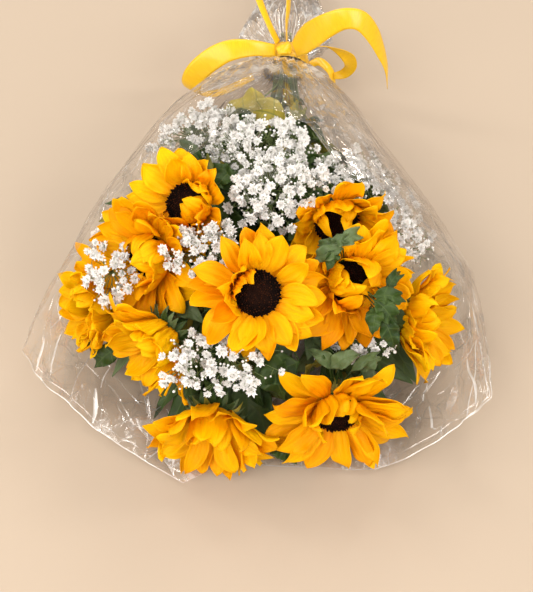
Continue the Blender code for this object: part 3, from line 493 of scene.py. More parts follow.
class Net:
    """A node tree while it is built."""

    def __init__(self, tree: bpy.types.NodeTree) -> None:
        """Takes the tree that the nodes go into."""
        self.tree = tree

    def plug(self, socket: Socket, value: object) -> None:
        """Links a socket to an input, or sets the input to a value."""
        if isinstance(value, Socket):
            self.tree.links.new(value, socket)
        else:
            socket.default_value = value

    def feed(self, node: bpy.types.Node, **inputs: object) -> None:
        """Sets a node's inputs from values or sockets, with _ for a space in a name."""
        for name, value in inputs.items():
            self.plug(node.inputs[name.replace("_", " ")], value)

    def node(self, kind: str, **inputs: object) -> bpy.types.Node:
        """Adds a node of a kind, and feeds it."""
        made = self.tree.nodes.new(kind)
        self.feed(made, **inputs)
        return made

    def math(self, kind: str, *values: object) -> Socket:
        """The result of one operation on values or sockets."""
        made = self.node("ShaderNodeMath")
        made.operation = kind
        for socket, value in zip(made.inputs, values):
            self.plug(socket, value)
        return made.outputs[0]

    def times(self, a: object, b: object) -> Socket:
        """The product of two values."""
        return self.math("MULTIPLY", a, b)

    def plus(self, a: object, b: object) -> Socket:
        """The sum of two values."""
        return self.math("ADD", a, b)

    def ramp(self, factor: Socket, *stops: tuple[float, Triple]) -> Socket:
        """A colour that runs through stops of place and colour."""
        made = self.node("ShaderNodeValToRGB", Fac=factor)
        elements = made.color_ramp.elements
        while len(elements) < len(stops):
            elements.new(0.5)
        for element, (place, colour) in zip(elements, stops):
            element.position = place
            element.color = (*colour, 1.0)
        return made.outputs["Color"]

    def fade(self, factor: Socket, *stops: Pair) -> Socket:
        """A share that runs through stops of place and share."""
        return self.ramp(factor, *((place, (share,) * 3) for place, share in stops))

    def mix(self, factor: object, a: object, b: object, blend: str = "MIX") -> Socket:
        """Two colours mixed by a factor."""
        made = self.node("ShaderNodeMix")
        made.data_type = "RGBA"
        made.blend_type = blend
        for place, value in ((0, factor), (6, a), (7, b)):
            self.plug(made.inputs[place], (*value, 1.0) if isinstance(value, tuple) else value)
        return made.outputs[2]

    def shaded(self, colour: object, shade: object) -> Socket:
        """One colour multiplied by another."""
        return self.mix(1.0, colour, shade, "MULTIPLY")

    def group(self, tree: bpy.types.NodeTree, **inputs: object) -> Socket:
        """The mask of a shared effect, placed in this tree with its own values."""
        made = self.node("ShaderNodeGroup")
        made.node_tree = tree
        self.feed(made, **inputs)
        return made.outputs["Mask"]


class Shading(Net):
    """A new material and its node tree, which has one Principled BSDF."""

    def __init__(self, name: str) -> None:
        """Starts the material."""
        self.material = bpy.data.materials.new(name)
        self.material.use_nodes = True
        super().__init__(self.material.node_tree)
        self.shader = self.tree.nodes["Principled BSDF"]

    def surface(self, **inputs: object) -> Material:
        """Sets the Principled BSDF's inputs, and gives the finished material."""
        self.feed(self.shader, **inputs)
        return self.material

    def values(self, *names: str) -> list[Socket]:
        """The values that the mesh holds under these names."""
        made = [self.node("ShaderNodeAttribute") for _ in names]
        for node, name in zip(made, names):
            node.attribute_name = name
        return [node.outputs["Fac"] for node in made]

    def bump(self, height: Socket, strength: float, distance: float) -> None:
        """Raises the surface's normal by a height."""
        made = self.node("ShaderNodeBump", Strength=strength, Distance=distance, Height=height)
        self.feed(self.shader, Normal=made.outputs["Normal"])


class SharedEffects:
    """The node groups that several finishes use."""

    def __init__(self) -> None:
        """Builds fine uneven lines along a blade, and soft uneven patches through space."""
        net, source = self._group("blade_streaks", Along=0.0, Over=0.0, Seed=0.0, Lines=8.0, Stretch=1.0)
        place = net.node("ShaderNodeCombineXYZ", X=net.times(source["Over"], source["Lines"]),
                         Y=net.times(source["Along"], source["Stretch"]), Z=source["Seed"])
        self.streaks = self._noise(net, place.outputs[0], 1.0, 3.0)
        net, source = self._group("mottle", Scale=60.0, Detail=2.0)
        place = net.node("ShaderNodeTexCoord")
        self.mottle = self._noise(net, place.outputs["Object"], source["Scale"], source["Detail"])

    @staticmethod
    def _group(name: str, **inputs: float) -> tuple[Net, bpy.types.NodeInputs]:
        """A group with number inputs and a mask for its output, and the sockets that bring its inputs."""
        tree = bpy.data.node_groups.new(name, "ShaderNodeTree")
        for label, value in inputs.items():
            socket = tree.interface.new_socket(label, in_out="INPUT", socket_type="NodeSocketFloat")
            socket.default_value = value
        tree.interface.new_socket("Mask", in_out="OUTPUT", socket_type="NodeSocketFloat")
        return Net(tree), tree.nodes.new("NodeGroupInput").outputs

    @staticmethod
    def _noise(net: Net, place: Socket, scale: object, detail: object) -> bpy.types.NodeTree:
        """Ends a group with the noise at a place as its mask."""
        grain = net.node("ShaderNodeTexNoise", Vector=place, Scale=scale, Detail=detail)
        net.node("NodeGroupOutput", Mask=grain.outputs[0])
        return net.tree


@dataclass(frozen=True)
class PetalFinish:
    """Golden rays: orange at the root, with fine lengthwise lines."""

    root: Triple = (0.74, 0.25, 0.001)
    middle: Triple = (0.90, 0.455, 0.001)
    tip: Triple = (0.92, 0.50, 0.001)
    deep: Triple = (0.86, 0.355, 0.001)
    roughness: float = 0.50
    glow: float = 0.10

    def material(self, effects: SharedEffects) -> Material:
        """The finished material."""
        shading = Shading("ray_petal")
        along, over, seed, tone = shading.values("along", "over", "seed", "tone")
        base = shading.ramp(along, (0.0, self.root), (0.30, self.middle), (1.0, self.tip))
        lines = shading.group(effects.streaks, Along=along, Over=over, Seed=seed, Lines=7.0, Stretch=1.6)
        veins = shading.fade(lines, (0.40, 0.0), (0.64, 1.0))
        lined = shading.mix(shading.times(veins, 0.48), base, self.deep)
        patch = shading.group(effects.mottle, Scale=22.0, Detail=1.0)
        shade = shading.ramp(patch, (0.35, (0.90, 0.80, 0.80)), (0.65, (1.0, 1.0, 1.0)))
        # Low tones are darker orange-brown; they also carry the painted shade worked out in _tone.
        own = shading.ramp(tone, (0.0, (0.50, 0.34, 0.4)), (0.35, (0.96, 0.74, 0.6)), (0.70, (1.0, 0.97, 1.0)),
                           (1.0, (1.0, 1.08, 1.0)))
        shading.bump(lines, 0.55, 0.0008)
        return shading.surface(
            Base_Color=shading.shaded(shading.shaded(lined, shade), own), Roughness=self.roughness,
            Subsurface_Weight=self.glow, Subsurface_Radius=(1.0, 0.45, 0.05), Subsurface_Scale=0.003,
            Specular_IOR_Level=0.06)


@dataclass(frozen=True)
class DiscFinish:
    """Dry dark florets, a little redder at the middle and tipped with pollen near the rim."""

    heart: Triple = (0.020, 0.007, 0.004)
    ring: Triple = (0.009, 0.004, 0.003)
    pollen: Triple = (0.075, 0.022, 0.006)
    roughness: float = 0.95

    def material(self, effects: SharedEffects) -> Material:
        """The finished material."""
        shading = Shading("disc_florets")
        place, tip, seed = shading.values("ring", "tip", "seed")
        base = shading.ramp(place, (0.0, self.heart), (0.45, self.heart), (0.75, self.ring))
        speck = shading.times(tip, shading.math("GREATER_THAN", seed, 0.62))
        dusted = shading.mix(shading.times(speck, 0.55), base, self.pollen)
        shade = shading.fade(shading.group(effects.mottle, Scale=260.0, Detail=2.0), (0.3, 0.5), (0.7, 1.0))
        return shading.surface(Base_Color=shading.shaded(dusted, shade), Roughness=self.roughness,
                               Specular_IOR_Level=0.08)


@dataclass(frozen=True)
class GreenFinish:
    """Leaves, bracts and stems: dark green with paler veins, and pale where a stem is cut."""

    dark: Triple = (0.019, 0.042, 0.007)
    fresh: Triple = (0.046, 0.082, 0.013)
    dusty: Triple = (0.150, 0.200, 0.085)
    young: Triple = (0.42, 0.33, 0.045)
    vein: Triple = (0.085, 0.130, 0.030)
    cut: Triple = (0.40, 0.46, 0.20)
    roughness: float = 0.46

    def material(self, effects: SharedEffects) -> Material:
        """The finished material."""
        shading = Shading("green_leaf")
        along, over, seed, pale = shading.values("along", "over", "seed", "pale")
        patch = shading.group(effects.mottle, Scale=45.0, Detail=3.0)
        patches = shading.ramp(patch, (0.35, self.dark), (0.70, self.fresh))
        tinted = shading.mix(shading.fade(seed, (0.55, 0.0), (1.0, 0.85)), patches, self.dusty)
        tinted = shading.mix(shading.fade(seed, (0.0, 1.0), (0.16, 0.0)), tinted, self.young)
        apart = shading.math("ABSOLUTE", over)
        rib = shading.fade(apart, (0.02, 1.0), (0.09, 0.0))
        slant = shading.math("SUBTRACT", shading.times(along, SIDE_VEINS),
                             shading.times(apart, VEIN_SLANT))
        side = shading.fade(shading.math("SINE", slant), (0.90, 0.0), (1.0, 0.8))
        veins = shading.math("MAXIMUM", rib, side)
        lined = shading.mix(shading.times(veins, 0.55), tinted, self.vein)
        lines = shading.group(effects.streaks, Along=along, Over=over, Seed=seed, Lines=9.0, Stretch=9.0)
        shading.bump(shading.math("SUBTRACT", lines, shading.times(veins, 0.6)), 0.5, 0.0008)
        return shading.surface(
            Base_Color=shading.mix(pale, lined, self.cut), Roughness=self.roughness, Specular_IOR_Level=0.28,
            Subsurface_Weight=0.06, Subsurface_Scale=0.002, Subsurface_Radius=(0.4, 1.0, 0.2))


@dataclass(frozen=True)
class FloretFinish:
    """Thin white petals, greenish at the heart, on fine green stalks."""

    white: Triple = (0.94, 0.912, 0.885)
    heart: Triple = (0.36, 0.40, 0.17)
    stalk: Triple = (0.150, 0.200, 0.065)
    roughness: float = 0.6

    def material(self, effects: SharedEffects) -> Material:
        """The finished material."""
        shading = Shading("white_floret")
        along, over, seed, green = shading.values("along", "over", "seed", "green")
        petal = shading.ramp(along, (0.0, self.heart), (0.34, self.white), (1.0, self.white))
        lines = shading.group(effects.streaks, Along=along, Over=over, Seed=seed, Lines=3.0, Stretch=1.0)
        shade = shading.ramp(lines, (0.35, (0.84, 0.84, 0.82)), (0.60, (1.0, 1.0, 1.0)))
        return shading.surface(
            Base_Color=shading.mix(green, shading.shaded(petal, shade), self.stalk), Roughness=self.roughness,
            Subsurface_Weight=0.15, Subsurface_Scale=0.002, Subsurface_Radius=(1.0, 1.0, 0.9),
            Specular_IOR_Level=0.3)


@dataclass(frozen=True)
class FilmFinish:
    """Clear film: it mirrors the lamps, has a painted darker reflection where seen edge on, and painted
    highlights that whiten its creases, wrinkles and hazy patches.
    """

    tint: Triple = (0.97, 0.945, 0.91)
    # Painted darker reflection: the base colour where the film is seen edge on.
    edge: Triple = (0.52, 0.46, 0.40)
    metal: float = 0.85
    edge_on: float = 0.32
    mirror: float = 0.70
    taut: float = 0.20
    haze: float = 0.26
    wrinkle_highlight_strength: float = 0.30
    roughness: float = 0.07
    densest: float = 0.94

    def material(self, effects: SharedEffects) -> Material:
        """The finished material."""
        shading = Shading("film_clear")
        worn, crease = shading.values("worn", "crease")
        mirror = shading.node("ShaderNodeLayerWeight", Blend=self.edge_on).outputs["Fresnel"]
        cells = self._cells(shading)
        line = shading.fade(cells, (0.0, 1.0), (0.060, 0.0))
        cloud = shading.fade(shading.group(effects.mottle, Scale=30.0, Detail=4.0), (0.46, 0.0), (0.66, 1.0))
        spread = shading.fade(shading.group(effects.mottle, Scale=19.0, Detail=3.0), (0.44, 0.0), (0.62, 1.0))
        # Painted highlights: whiter lines along the edges of small bent cells stand in for glints on fine
        # wrinkles.
        wrinkle_highlight = shading.times(shading.times(line, spread), shading.times(worn, self.wrinkle_highlight_strength))
        clouded = shading.times(cloud, shading.times(worn, self.haze))
        shown = shading.times(mirror, shading.plus(shading.times(worn, 1.0 - self.taut), self.taut))
        clear = shading.plus(shading.times(shown, self.mirror), shading.plus(wrinkle_highlight, clouded))
        # Creases, wrinkles and hazy patches get rougher and whiter: painted highlights.
        dull = shading.math("MAXIMUM", shading.math("MAXIMUM", crease, wrinkle_highlight), shading.times(clouded, 2.0))
        white = shading.math("MINIMUM", shading.times(dull, 3.0), 1.0)
        # The base colour darkens to the edge colour where the film is seen edge on: a painted darker
        # reflection.
        seen = shading.mix(shading.times(mirror, shading.math("SUBTRACT", 1.0, white)), self.tint, self.edge)
        shading.bump(cells, 0.30, 0.006)
        return shading.surface(
            Base_Color=seen, Metallic=self.metal, Specular_IOR_Level=1.0,
            Roughness=shading.plus(shading.times(dull, 0.8), self.roughness),
            Alpha=shading.math("MINIMUM", shading.plus(clear, crease), self.densest))

    @staticmethod
    def _cells(shading: Shading) -> Socket:
        """How far a place lies from the edges of a net of bent cells."""
        place = shading.node("ShaderNodeTexCoord").outputs["Object"]
        warp = shading.node("ShaderNodeTexNoise", Vector=place, Scale=14.0, Detail=2.0)
        bent = shading.node("ShaderNodeVectorMath")
        bent.operation = "MULTIPLY_ADD"
        for socket, value in zip(bent.inputs, (warp.outputs["Color"], (0.06, 0.06, 0.06), place)):
            shading.plug(socket, value)
        cells = shading.node("ShaderNodeTexVoronoi", Vector=bent.outputs[0], Scale=46.0)
        cells.feature = "DISTANCE_TO_EDGE"
        return cells.outputs["Distance"]


@dataclass(frozen=True)
class SatinFinish:
    """Yellow satin: fine threads across and a soft sheen along the ribbon."""

    face: Triple = (0.86, 0.505, 0.008)
    shade: Triple = (0.78, 0.43, 0.005)
    roughness: float = 0.26

    def material(self, effects: SharedEffects) -> Material:
        """The finished material."""
        shading = Shading("satin_ribbon")
        along, over, seed = shading.values("along", "over", "seed")
        threads = shading.group(effects.streaks, Along=over, Over=along, Seed=seed, Lines=260.0, Stretch=1.0)
        tone = shading.ramp(threads, (0.35, self.shade), (0.62, self.face))
        edge = shading.fade(shading.math("ABSOLUTE", over), (0.93, 0.0), (0.98, 0.5))
        shading.bump(threads, 0.05, 0.0002)
        return shading.surface(
            Base_Color=shading.mix(edge, tone, self.shade), Roughness=self.roughness, Specular_IOR_Level=0.45,
            Sheen_Weight=0.12, Sheen_Roughness=0.4, Anisotropic=0.5, Coat_Weight=0.06, Coat_Roughness=0.25)


@dataclass(frozen=True)
class TwineFinish:
    """Pale twisted twine."""

    light: Triple = (0.56, 0.44, 0.26)
    dark: Triple = (0.30, 0.20, 0.10)

    def material(self, effects: SharedEffects) -> Material:
        """The finished material."""
        shading = Shading("twine")
        along, over, seed = shading.values("along", "over", "seed")
        ply = shading.group(effects.streaks, Along=along, Over=over, Seed=seed, Lines=3.0, Stretch=90.0)
        shading.bump(ply, 0.5, 0.0006)
        tone = shading.ramp(ply, (0.35, self.dark), (0.60, self.light))
        return shading.surface(Base_Color=tone, Roughness=0.8)


class Head:
    """One sunflower's place: its centre, the way it faces and the lines of its solid rays."""

    SEAT = 0.0004
    INNER_ROOT = -0.0025

    def __init__(self, name: str, nodes: dict[str, bpy.types.Object]) -> None:
        """Reads the head off its solid disc and rays."""
        self.name = name
        disc = SolidReader(nodes[f"{name}_disc"])
        self.facing, self.centre = self._base_of(disc)
        self.upper = square_to(self.facing, UP)
        self.right = np.cross(self.upper, self.facing)
        rays = SolidReader(nodes[f"{name}_rays"])
        start = int(np.linalg.norm(rays.points - self.centre, axis=1).argmin())
        guides = [rays.guide(tip, 3) for tip in rays.tips(start)]
        self.guides = sorted((g for g in guides if len(g.line) == 4), key=self.bearing)
        for guide in self.guides:
            guide.sides[0] = guide.sides[1]
        LOG.info("%s: %d solid rays", name, len(self.guides))

    def _base_of(self, disc: SolidReader) -> Surface:
        """The way a solid disc faces, and the middle of its flat base."""
        corners = disc.points[disc.triangles]
        crosses = np.cross(corners[:, 1] - corners[:, 0], corners[:, 2] - corners[:, 0])
        ways = units(crosses)
        alike = (ways @ ways.T) > 0.9999
        group = alike[(alike * np.linalg.norm(crosses, axis=1)[None, :]).sum(axis=1).argmax()]
        facing = -unit(crosses[group].sum(axis=0))
        base = disc.points[np.unique(disc.triangles[group])].mean(axis=0)
        return facing, base - facing * self.SEAT

    def out(self, turn: float) -> Array:
        """The direction away from the head's middle at a bearing."""
        return around(self.upper, self.right, turn)

    def bearing(self, guide: BladeGuide) -> float:
        """A guide's direction round the head, clockwise from its upper edge."""
        arm = guide.line[0] - self.centre
        return math.atan2(float(arm @ self.right), float(arm @ self.upper)) % FULL_TURN

    def layer(self, guide: BladeGuide) -> Layer:
        """Which layer a guide's root lies in."""
        inner = float((guide.line[0] - self.centre) @ self.facing) > self.INNER_ROOT
        return Layer.INNER if inner else Layer.OUTER

    def between(self, a: BladeGuide, b: BladeGuide) -> BladeGuide:
        """A guide half-way round from one to the next, shaped like both."""
        gap = (self.bearing(b) - self.bearing(a)) % FULL_TURN
        parts = []
        for guide, turn in ((a, -gap / 2), (b, gap / 2)):
            line = turned_about(guide.line, self.centre, self.facing, turn)
            sides = turned_about(guide.sides, np.zeros(3), self.facing, turn)
            if parts and np.dot(sides[1], parts[0][1][1]) < 0:
                sides = -sides
            parts.append((line, sides))
        return BladeGuide((parts[0][0] + parts[1][0]) / 2, units(parts[0][1] + parts[1][1]),
                          (a.widths + b.widths) / 2)


@dataclass
class PetalShape:
    """Sizes of a ray petal, and how much they vary."""

    rows: int = 15
    columns: int = 11
    thickness: float = 0.0004
    root_reach: float = 0.0045
    width: Pair = (0.90, 1.22)
    channel: Pair = (-0.0012, 0.0055)
    ridge: float = 0.0012
    ridges: int = 3
    wave: Pair = (0.0010, 0.0044)
    waves: Pair = (1.2, 2.4)
    halves_apart: float = 1.9
    twist: float = 0.80
    tip_curl: float = 0.26
    curl_from: float = 0.6
    bow: float = 0.10
    # Along the petal: share of the length, then of the width.
    outline: tuple[Pair, ...] = (
        (0.0, 0.36), (0.10, 0.50), (0.25, 0.80), (0.42, 1.0), (0.60, 1.0), (0.75, 0.86), (0.86, 0.62),
        (0.94, 0.34), (1.0, 0.05))

    def grid(self, guide: BladeGuide, inward: Array, rng: Draw) -> Array:
        """A petal's surface along a guide.

        Args:
            guide: The line to follow.
            inward: From the root towards the front of the head's axis, which the petal's face looks to.
            rng: The draw for this petal's own shape.

        Returns:
            Rows by columns of points.
        """
        along = np.linspace(0, 1, self.rows)
        path = smooth_path(guide.line, self.rows)
        places = np.linspace(0, 1, len(guide.sides))
        sides = np.column_stack([np.interp(along, places, guide.sides[:, i]) for i in range(3)])
        sides, faces = blade_ways(path, sides)
        if float(faces[0] @ inward) < 0:
            sides, faces = -sides, -faces
        sides, faces = twisted(sides, faces, rng.uniform(-self.twist, self.twist) * (along - 0.25))
        curl = rng.uniform(-self.tip_curl, self.tip_curl) * guide.length
        bow = rng.uniform(-self.bow, self.bow) * guide.length
        path = path + faces * (curl * np.clip((along - self.curl_from) / 0.4, 0, 1) ** 2)[:, None]
        path = path + sides * (bow * np.sin(np.pi * along))[:, None]
        widths = np.interp(along, *np.array(self.outline).T) * guide.widths.max() * rng.uniform(*self.width)
        over = np.linspace(-1, 1, self.columns)
        share = widths / widths.max()
        lift = rng.uniform(*self.channel) * np.outer(share, over ** 2)
        lift -= self.ridge * np.outer(np.sin(np.pi * np.clip(along * 1.15, 0, 1)),
                                      np.cos(self.ridges * np.pi * over))
        phase, beats = rng.uniform(0, 6.28), rng.uniform(*self.waves)
        ripple = np.sin(2 * np.pi * beats * along[:, None] + phase + self.halves_apart * np.sign(over)[None, :])
        lift += rng.uniform(*self.wave) * ripple * np.outer(along ** 0.7, np.abs(over) ** 2)
        return blade_grid(path, sides, np.outer(widths / 2, over), faces, lift)


@dataclass
class SunflowerRays:
    """The rays of every head: one along each solid ray, and more between them."""

    effects: SharedEffects
    heads: dict[str, Head]
    shape: PetalShape = field(default_factory=PetalShape)
    outer_extra: float = 0.85
    inner_extra: float = 0.60
    extra_back: float = 0.0022
    extra_front: float = 0.0014
    nod: float = 0.13
    stray: float = 0.06
    seed: int = 40
    rim: float = 0.0232
    # For each point of a ray that bends in over the disc: the shares of its length inwards and upwards.
    curled_steps: tuple[Pair, ...] = ((0.0, 0.0), (-0.02, 0.30), (0.05, 0.58), (0.25, 0.78), (0.50, 0.84))
    # Bloom, then each side where its rays are shorter: its bearing in degrees, by what share, and how
    # narrow it is.
    shorter: tuple[tuple[str, tuple[Triple, ...]], ...] = (
        ("top_left", ((15, 0.48, 2.0),)),
        ("top_right", ((275, 0.26, 1.0), (0, 0.20, 1.0))),
        ("upper_right", ((120, 0.14, 1.0), (333, 0.46, 12.0), (6, 0.42, 12.0))),
        ("front_right", ((351, 0.48, 60.0), (26, 0.48, 60.0))),
    )
    # Bloom, then how much paler it is than the others, and the bearing and strength of the painted shade on its
    # shaded, duller side.
    tones: tuple[tuple[str, Triple], ...] = (
        ("centre", (-0.05, 0, 0.0)), ("far_left", (0.24, 0, 0.0)), ("far_right", (0.18, 0, 0.0)),
        ("lower_left", (0.18, 0, 0.0)), ("front_left", (0.10, 0, 0.0)), ("front_right", (0.06, 0, 0.0)),
        ("upper_right", (0.02, 205, 0.50)), ("middle_left", (0.06, 150, 0.26)), ("top_left", (0.06, 150, 0.26)),
        ("top_right", (0.0, 185, 0.40)),
    )
    # Bloom, then for each short ray that stands up beside its disc the bearing in degrees, the length and
    # the share of a full bend over the disc.
    curled_in: tuple[tuple[str, tuple[Triple, ...]], ...] = (
        ("centre", ((262, 0.034, 0.05), (286, 0.044, 0.20), (308, 0.040, 0.15), (332, 0.036, 0.10))),
        ("front_right", ((292, 0.034, 0.7), (68, 0.030, 0.5), (110, 0.034, 0.4), (250, 0.036, 0.5))),
        ("upper_right", ((262, 0.046, 0.9), (235, 0.044, 1.1), (205, 0.042, 0.9), (176, 0.040, 0.7),
                         (290, 0.04, 0.6), (12, 0.050, 0.30), (38, 0.050, 0.75), (66, 0.048, 0.95),
                         (96, 0.044, 1.0), (128, 0.040, 0.8))),
        ("middle_left", ((100, 0.034, 0.8), (66, 0.046, 0.9), (132, 0.030, 0.6), (160, 0.028, 0.5),
                         (20, 0.046, 0.8), (338, 0.044, 0.8), (304, 0.036, 0.7), (40, 0.05, 0.5))),
        ("top_left", ((75, 0.042, 0.8), (110, 0.040, 0.7), (20, 0.036, 0.4))),
        ("top_right", ((300, 0.036, 0.7), (40, 0.036, 0.8))),
    )

    def build(self) -> None:
        """Builds and dresses the rays of each head."""
        finish = PetalFinish().material(self.effects)
        for number, head in enumerate(self.heads.values()):
            rng = random.Random(self.seed + number)
            mould = Mould(f"{head.name}_petals")
            guides = [self._cut_back(head, guide) for guide in head.guides]
            for guide in guides:
                self._petal(mould, head, guide, rng)
            for layer, chance, shift in ((Layer.OUTER, self.outer_extra, -self.extra_back),
                                         (Layer.INNER, self.inner_extra, self.extra_front)):
                ring = [g for g in guides if head.layer(g) == layer]
                for a, b in zip(ring, ring[1:] + ring[:1]):
                    if rng.random() < chance:
                        self._petal(mould, head, head.between(a, b).shifted(head.facing * shift), rng)
            for bearing, length, bend in dict(self.curled_in).get(head.name, ()):
                self._petal(mould, head, self._curled(head, math.radians(bearing), length, bend), rng)
            mould.cast(finish, Slot.RAY, f"{head.name}_rays")

    def _cut_back(self, head: Head, guide: BladeGuide) -> BladeGuide:
        """A guide made shorter where its head has shorter rays."""
        share = 0.0
        for side, most, narrow in dict(self.shorter).get(head.name, ()):
            share += most * max(math.cos(head.bearing(guide) - math.radians(side)), 0.0) ** narrow
        return guide.shortened(share)

    def _tone(self, head: Head, guide: BladeGuide, seed: float) -> float:
        """How pale one petal is, from darkest (0) to palest (1), less the painted shade on the head's shaded
        side.
        """
        paler, side, dull = dict(self.tones)[head.name]
        near = max(math.cos(head.bearing(guide) - math.radians(side)), 0.0)
        # The last term is painted shade: petals on the given side of the head turn darker orange-brown.
        return 0.35 + 0.35 * min(seed % 1.0 / 0.45, 1.0) + paler - dull * near ** 2

    def _curled(self, head: Head, bearing: float, length: float, bend: float) -> BladeGuide:
        """A guide that stands up from the disc's rim and bends in over it."""
        out = head.out(bearing)
        steps = np.array(self.curled_steps)
        reach = self.rim - steps[:, 0] * bend * length
        reach += 0.10 * length * (1 - bend) * np.linspace(0, 1, len(steps))
        line = head.centre + np.outer(reach, out) + np.outer(steps[:, 1] * length, head.facing)
        return BladeGuide.even(line, np.cross(head.facing, out), 0.40 * length)

    def _petal(self, mould: Mould, head: Head, guide: BladeGuide, rng: Draw) -> None:
        """Adds one petal, which starts a little under the disc."""
        root = guide.line[0]
        out = square_to(head.facing, root - head.centre)
        start = root - out * self.shape.root_reach
        line = turned_about(guide.line, root, np.cross(head.facing, out), rng.gauss(0, self.nod))
        line = turned_about(line, root, head.facing, rng.gauss(0, self.stray))
        full = BladeGuide(np.vstack([start, line]), np.vstack([guide.sides[:1], guide.sides]), guide.widths)
        grid = self.shape.grid(full, head.facing - out * 0.2, rng)
        seed = rng.uniform(0, 20)
        mould.add(shell(grid, self.shape.thickness), seed=seed, tone=self._tone(head, guide, seed),
                  **blade_values(*grid.shape[:2]))


@dataclass
class SunflowerDiscs:
    """The dark discs: spiral rows of small florets on a dome."""

    effects: SharedEffects
    heads: dict[str, Head]
    radius: float = 0.0222
    florets: int = 300
    floret_radius: float = 0.00115
    heights: Pair = (0.0016, 0.0038)
    lean: float = 0.75
    seed: int = 90
    # Share of the radius, then height over the plate.
    dome: tuple[Pair, ...] = ((0.0, 0.0050), (0.42, 0.0064), (0.78, 0.0052), (1.0, 0.0020))

    def build(self) -> None:
        """Builds and dresses each disc."""
        finish = DiscFinish().material(self.effects)
        for number, head in enumerate(self.heads.values()):
            rng = random.Random(self.seed + number)
            mould = Mould(f"{head.name}_florets")
            profile = [(0.0, 0.0005), (self.radius * 0.96, 0.0005)]
            profile += [(share * self.radius, height) for share, height in reversed(self.dome)]
            dome = turned_solid(head.centre, head.facing, head.upper, np.array(profile), 40)
            reach = np.linalg.norm(dome[0] - head.centre, axis=1) / self.radius
            mould.add(dome, ring=reach, tip=0.0, seed=0.0)
            for i in range(self.florets):
                self._floret(mould, head, i, rng)
            mould.cast(finish, Slot.DISC, f"{head.name}_disc")

    def _floret(self, mould: Mould, head: Head, number: int, rng: Draw) -> None:
        """Adds one pointed floret at its place on the spiral."""
        share = math.sqrt((number + 0.5) / self.florets)
        out = head.out(number * GOLDEN_ANGLE)
        height = float(np.interp(share, *np.array(self.dome).T))
        root = head.centre + out * share * self.radius * 0.98 + head.facing * (height - 0.0008)
        way = unit(head.facing + out * self.lean * share ** 3 + head.upper * rng.uniform(-0.15, 0.15)
                   + head.right * rng.uniform(-0.15, 0.15))
        tall = self.heights[0] + (self.heights[1] - self.heights[0]) * share ** 2
        tall *= rng.uniform(0.75, 1.2)
        wide = self.floret_radius * (0.75 + 0.35 * share)
        profile = np.array([(0.0, 0.0), (wide * 0.8, 0.0), (wide, tall * 0.55), (wide * 0.55, tall * 0.9),
                            (0.0, tall)])
        side = square_to(way, out)
        tips = np.repeat((0.0, 0.0, 0.3, 1.0, 1.0), 4)
        mould.add(turned_solid(root, way, side, profile, 4), ring=share, tip=tips, seed=rng.random())


@dataclass
class LeafShape:
    """Sizes of leaves and bracts, and how much they vary."""

    rows: int = 26
    columns: int = 9
    thickness: float = 0.0006
    teeth: float = 9.0
    tooth_depth: float = 0.08
    channel: float = 0.24
    wave: Pair = (0.0030, 0.0085)
    waves: float = 2.2
    halves_apart: float = 2.4
    curl: Pair = (-0.30, 0.16)
    curl_from: float = 0.3
    twist: float = 0.6
    vein_relief: float = 0.0007
    # Share of the length, then of the width.
    outline: tuple[Pair, ...] = (
        (0.0, 0.05), (0.20, 0.07), (0.28, 0.48), (0.40, 0.94), (0.52, 1.0), (0.66, 0.84), (0.80, 0.55),
        (0.92, 0.24), (1.0, 0.02))

    def grid(self, guide: BladeGuide, upward: Array, width: float, rng: Draw) -> Array:
        """A leaf's surface along a guide.

        Args:
            guide: The line to follow.
            upward: Where the leaf's face looks.
            width: Its greatest width.
            rng: The draw for this leaf's own shape.

        Returns:
            Rows by columns of points.
        """
        along = np.linspace(0, 1, self.rows)
        path = smooth_path(guide.line, self.rows)
        sides, faces = blade_ways(path, np.tile(guide.sides[len(guide.sides) // 2], (self.rows, 1)))
        if float(faces[self.rows // 2] @ upward) < 0:
            sides, faces = -sides, -faces
        curl = rng.uniform(*self.curl) * guide.length
        path = path + faces * (curl * np.clip(along - self.curl_from, 0, 1) ** 2 / 0.49)[:, None]
        sides, faces = twisted(sides, faces, rng.uniform(-self.twist, self.twist) * along)
        over = np.linspace(-1, 1, self.columns)
        tooth = (along[:, None] * self.teeth + 0.15 * np.sign(over)[None, :]) % 1.0
        notch = 1 - self.tooth_depth * tooth * (np.abs(over) > 0.99)[None, :]
        half = np.outer(np.interp(along, *np.array(self.outline).T) * width / 2, over) * notch
        lift = self.channel * width * np.abs(half) / width
        phase = rng.uniform(0, 6.28)
        beat = 2 * np.pi * self.waves * along[:, None]
        ripple = np.sin(beat + phase + self.halves_apart * np.sign(over)[None, :])
        lift += rng.uniform(*self.wave) * ripple * np.outer(np.sin(np.pi * along), over ** 2)
        slant = np.sin(along[:, None] * SIDE_VEINS - VEIN_SLANT * np.abs(over)[None, :])
        arch = np.abs(over) * (1.1 - np.abs(over)) * 4
        lift += self.vein_relief * slant * np.outer(np.sin(np.pi * along), arch)
        return blade_grid(path, sides, half, faces, lift)


@dataclass(frozen=True)
class PlacedLeaf:
    """A leaf that shows between the heads. Its tone runs from young (0) through dark to dusty (1)."""

    root: Triple
    tip: Triple
    width: float
    tone: float


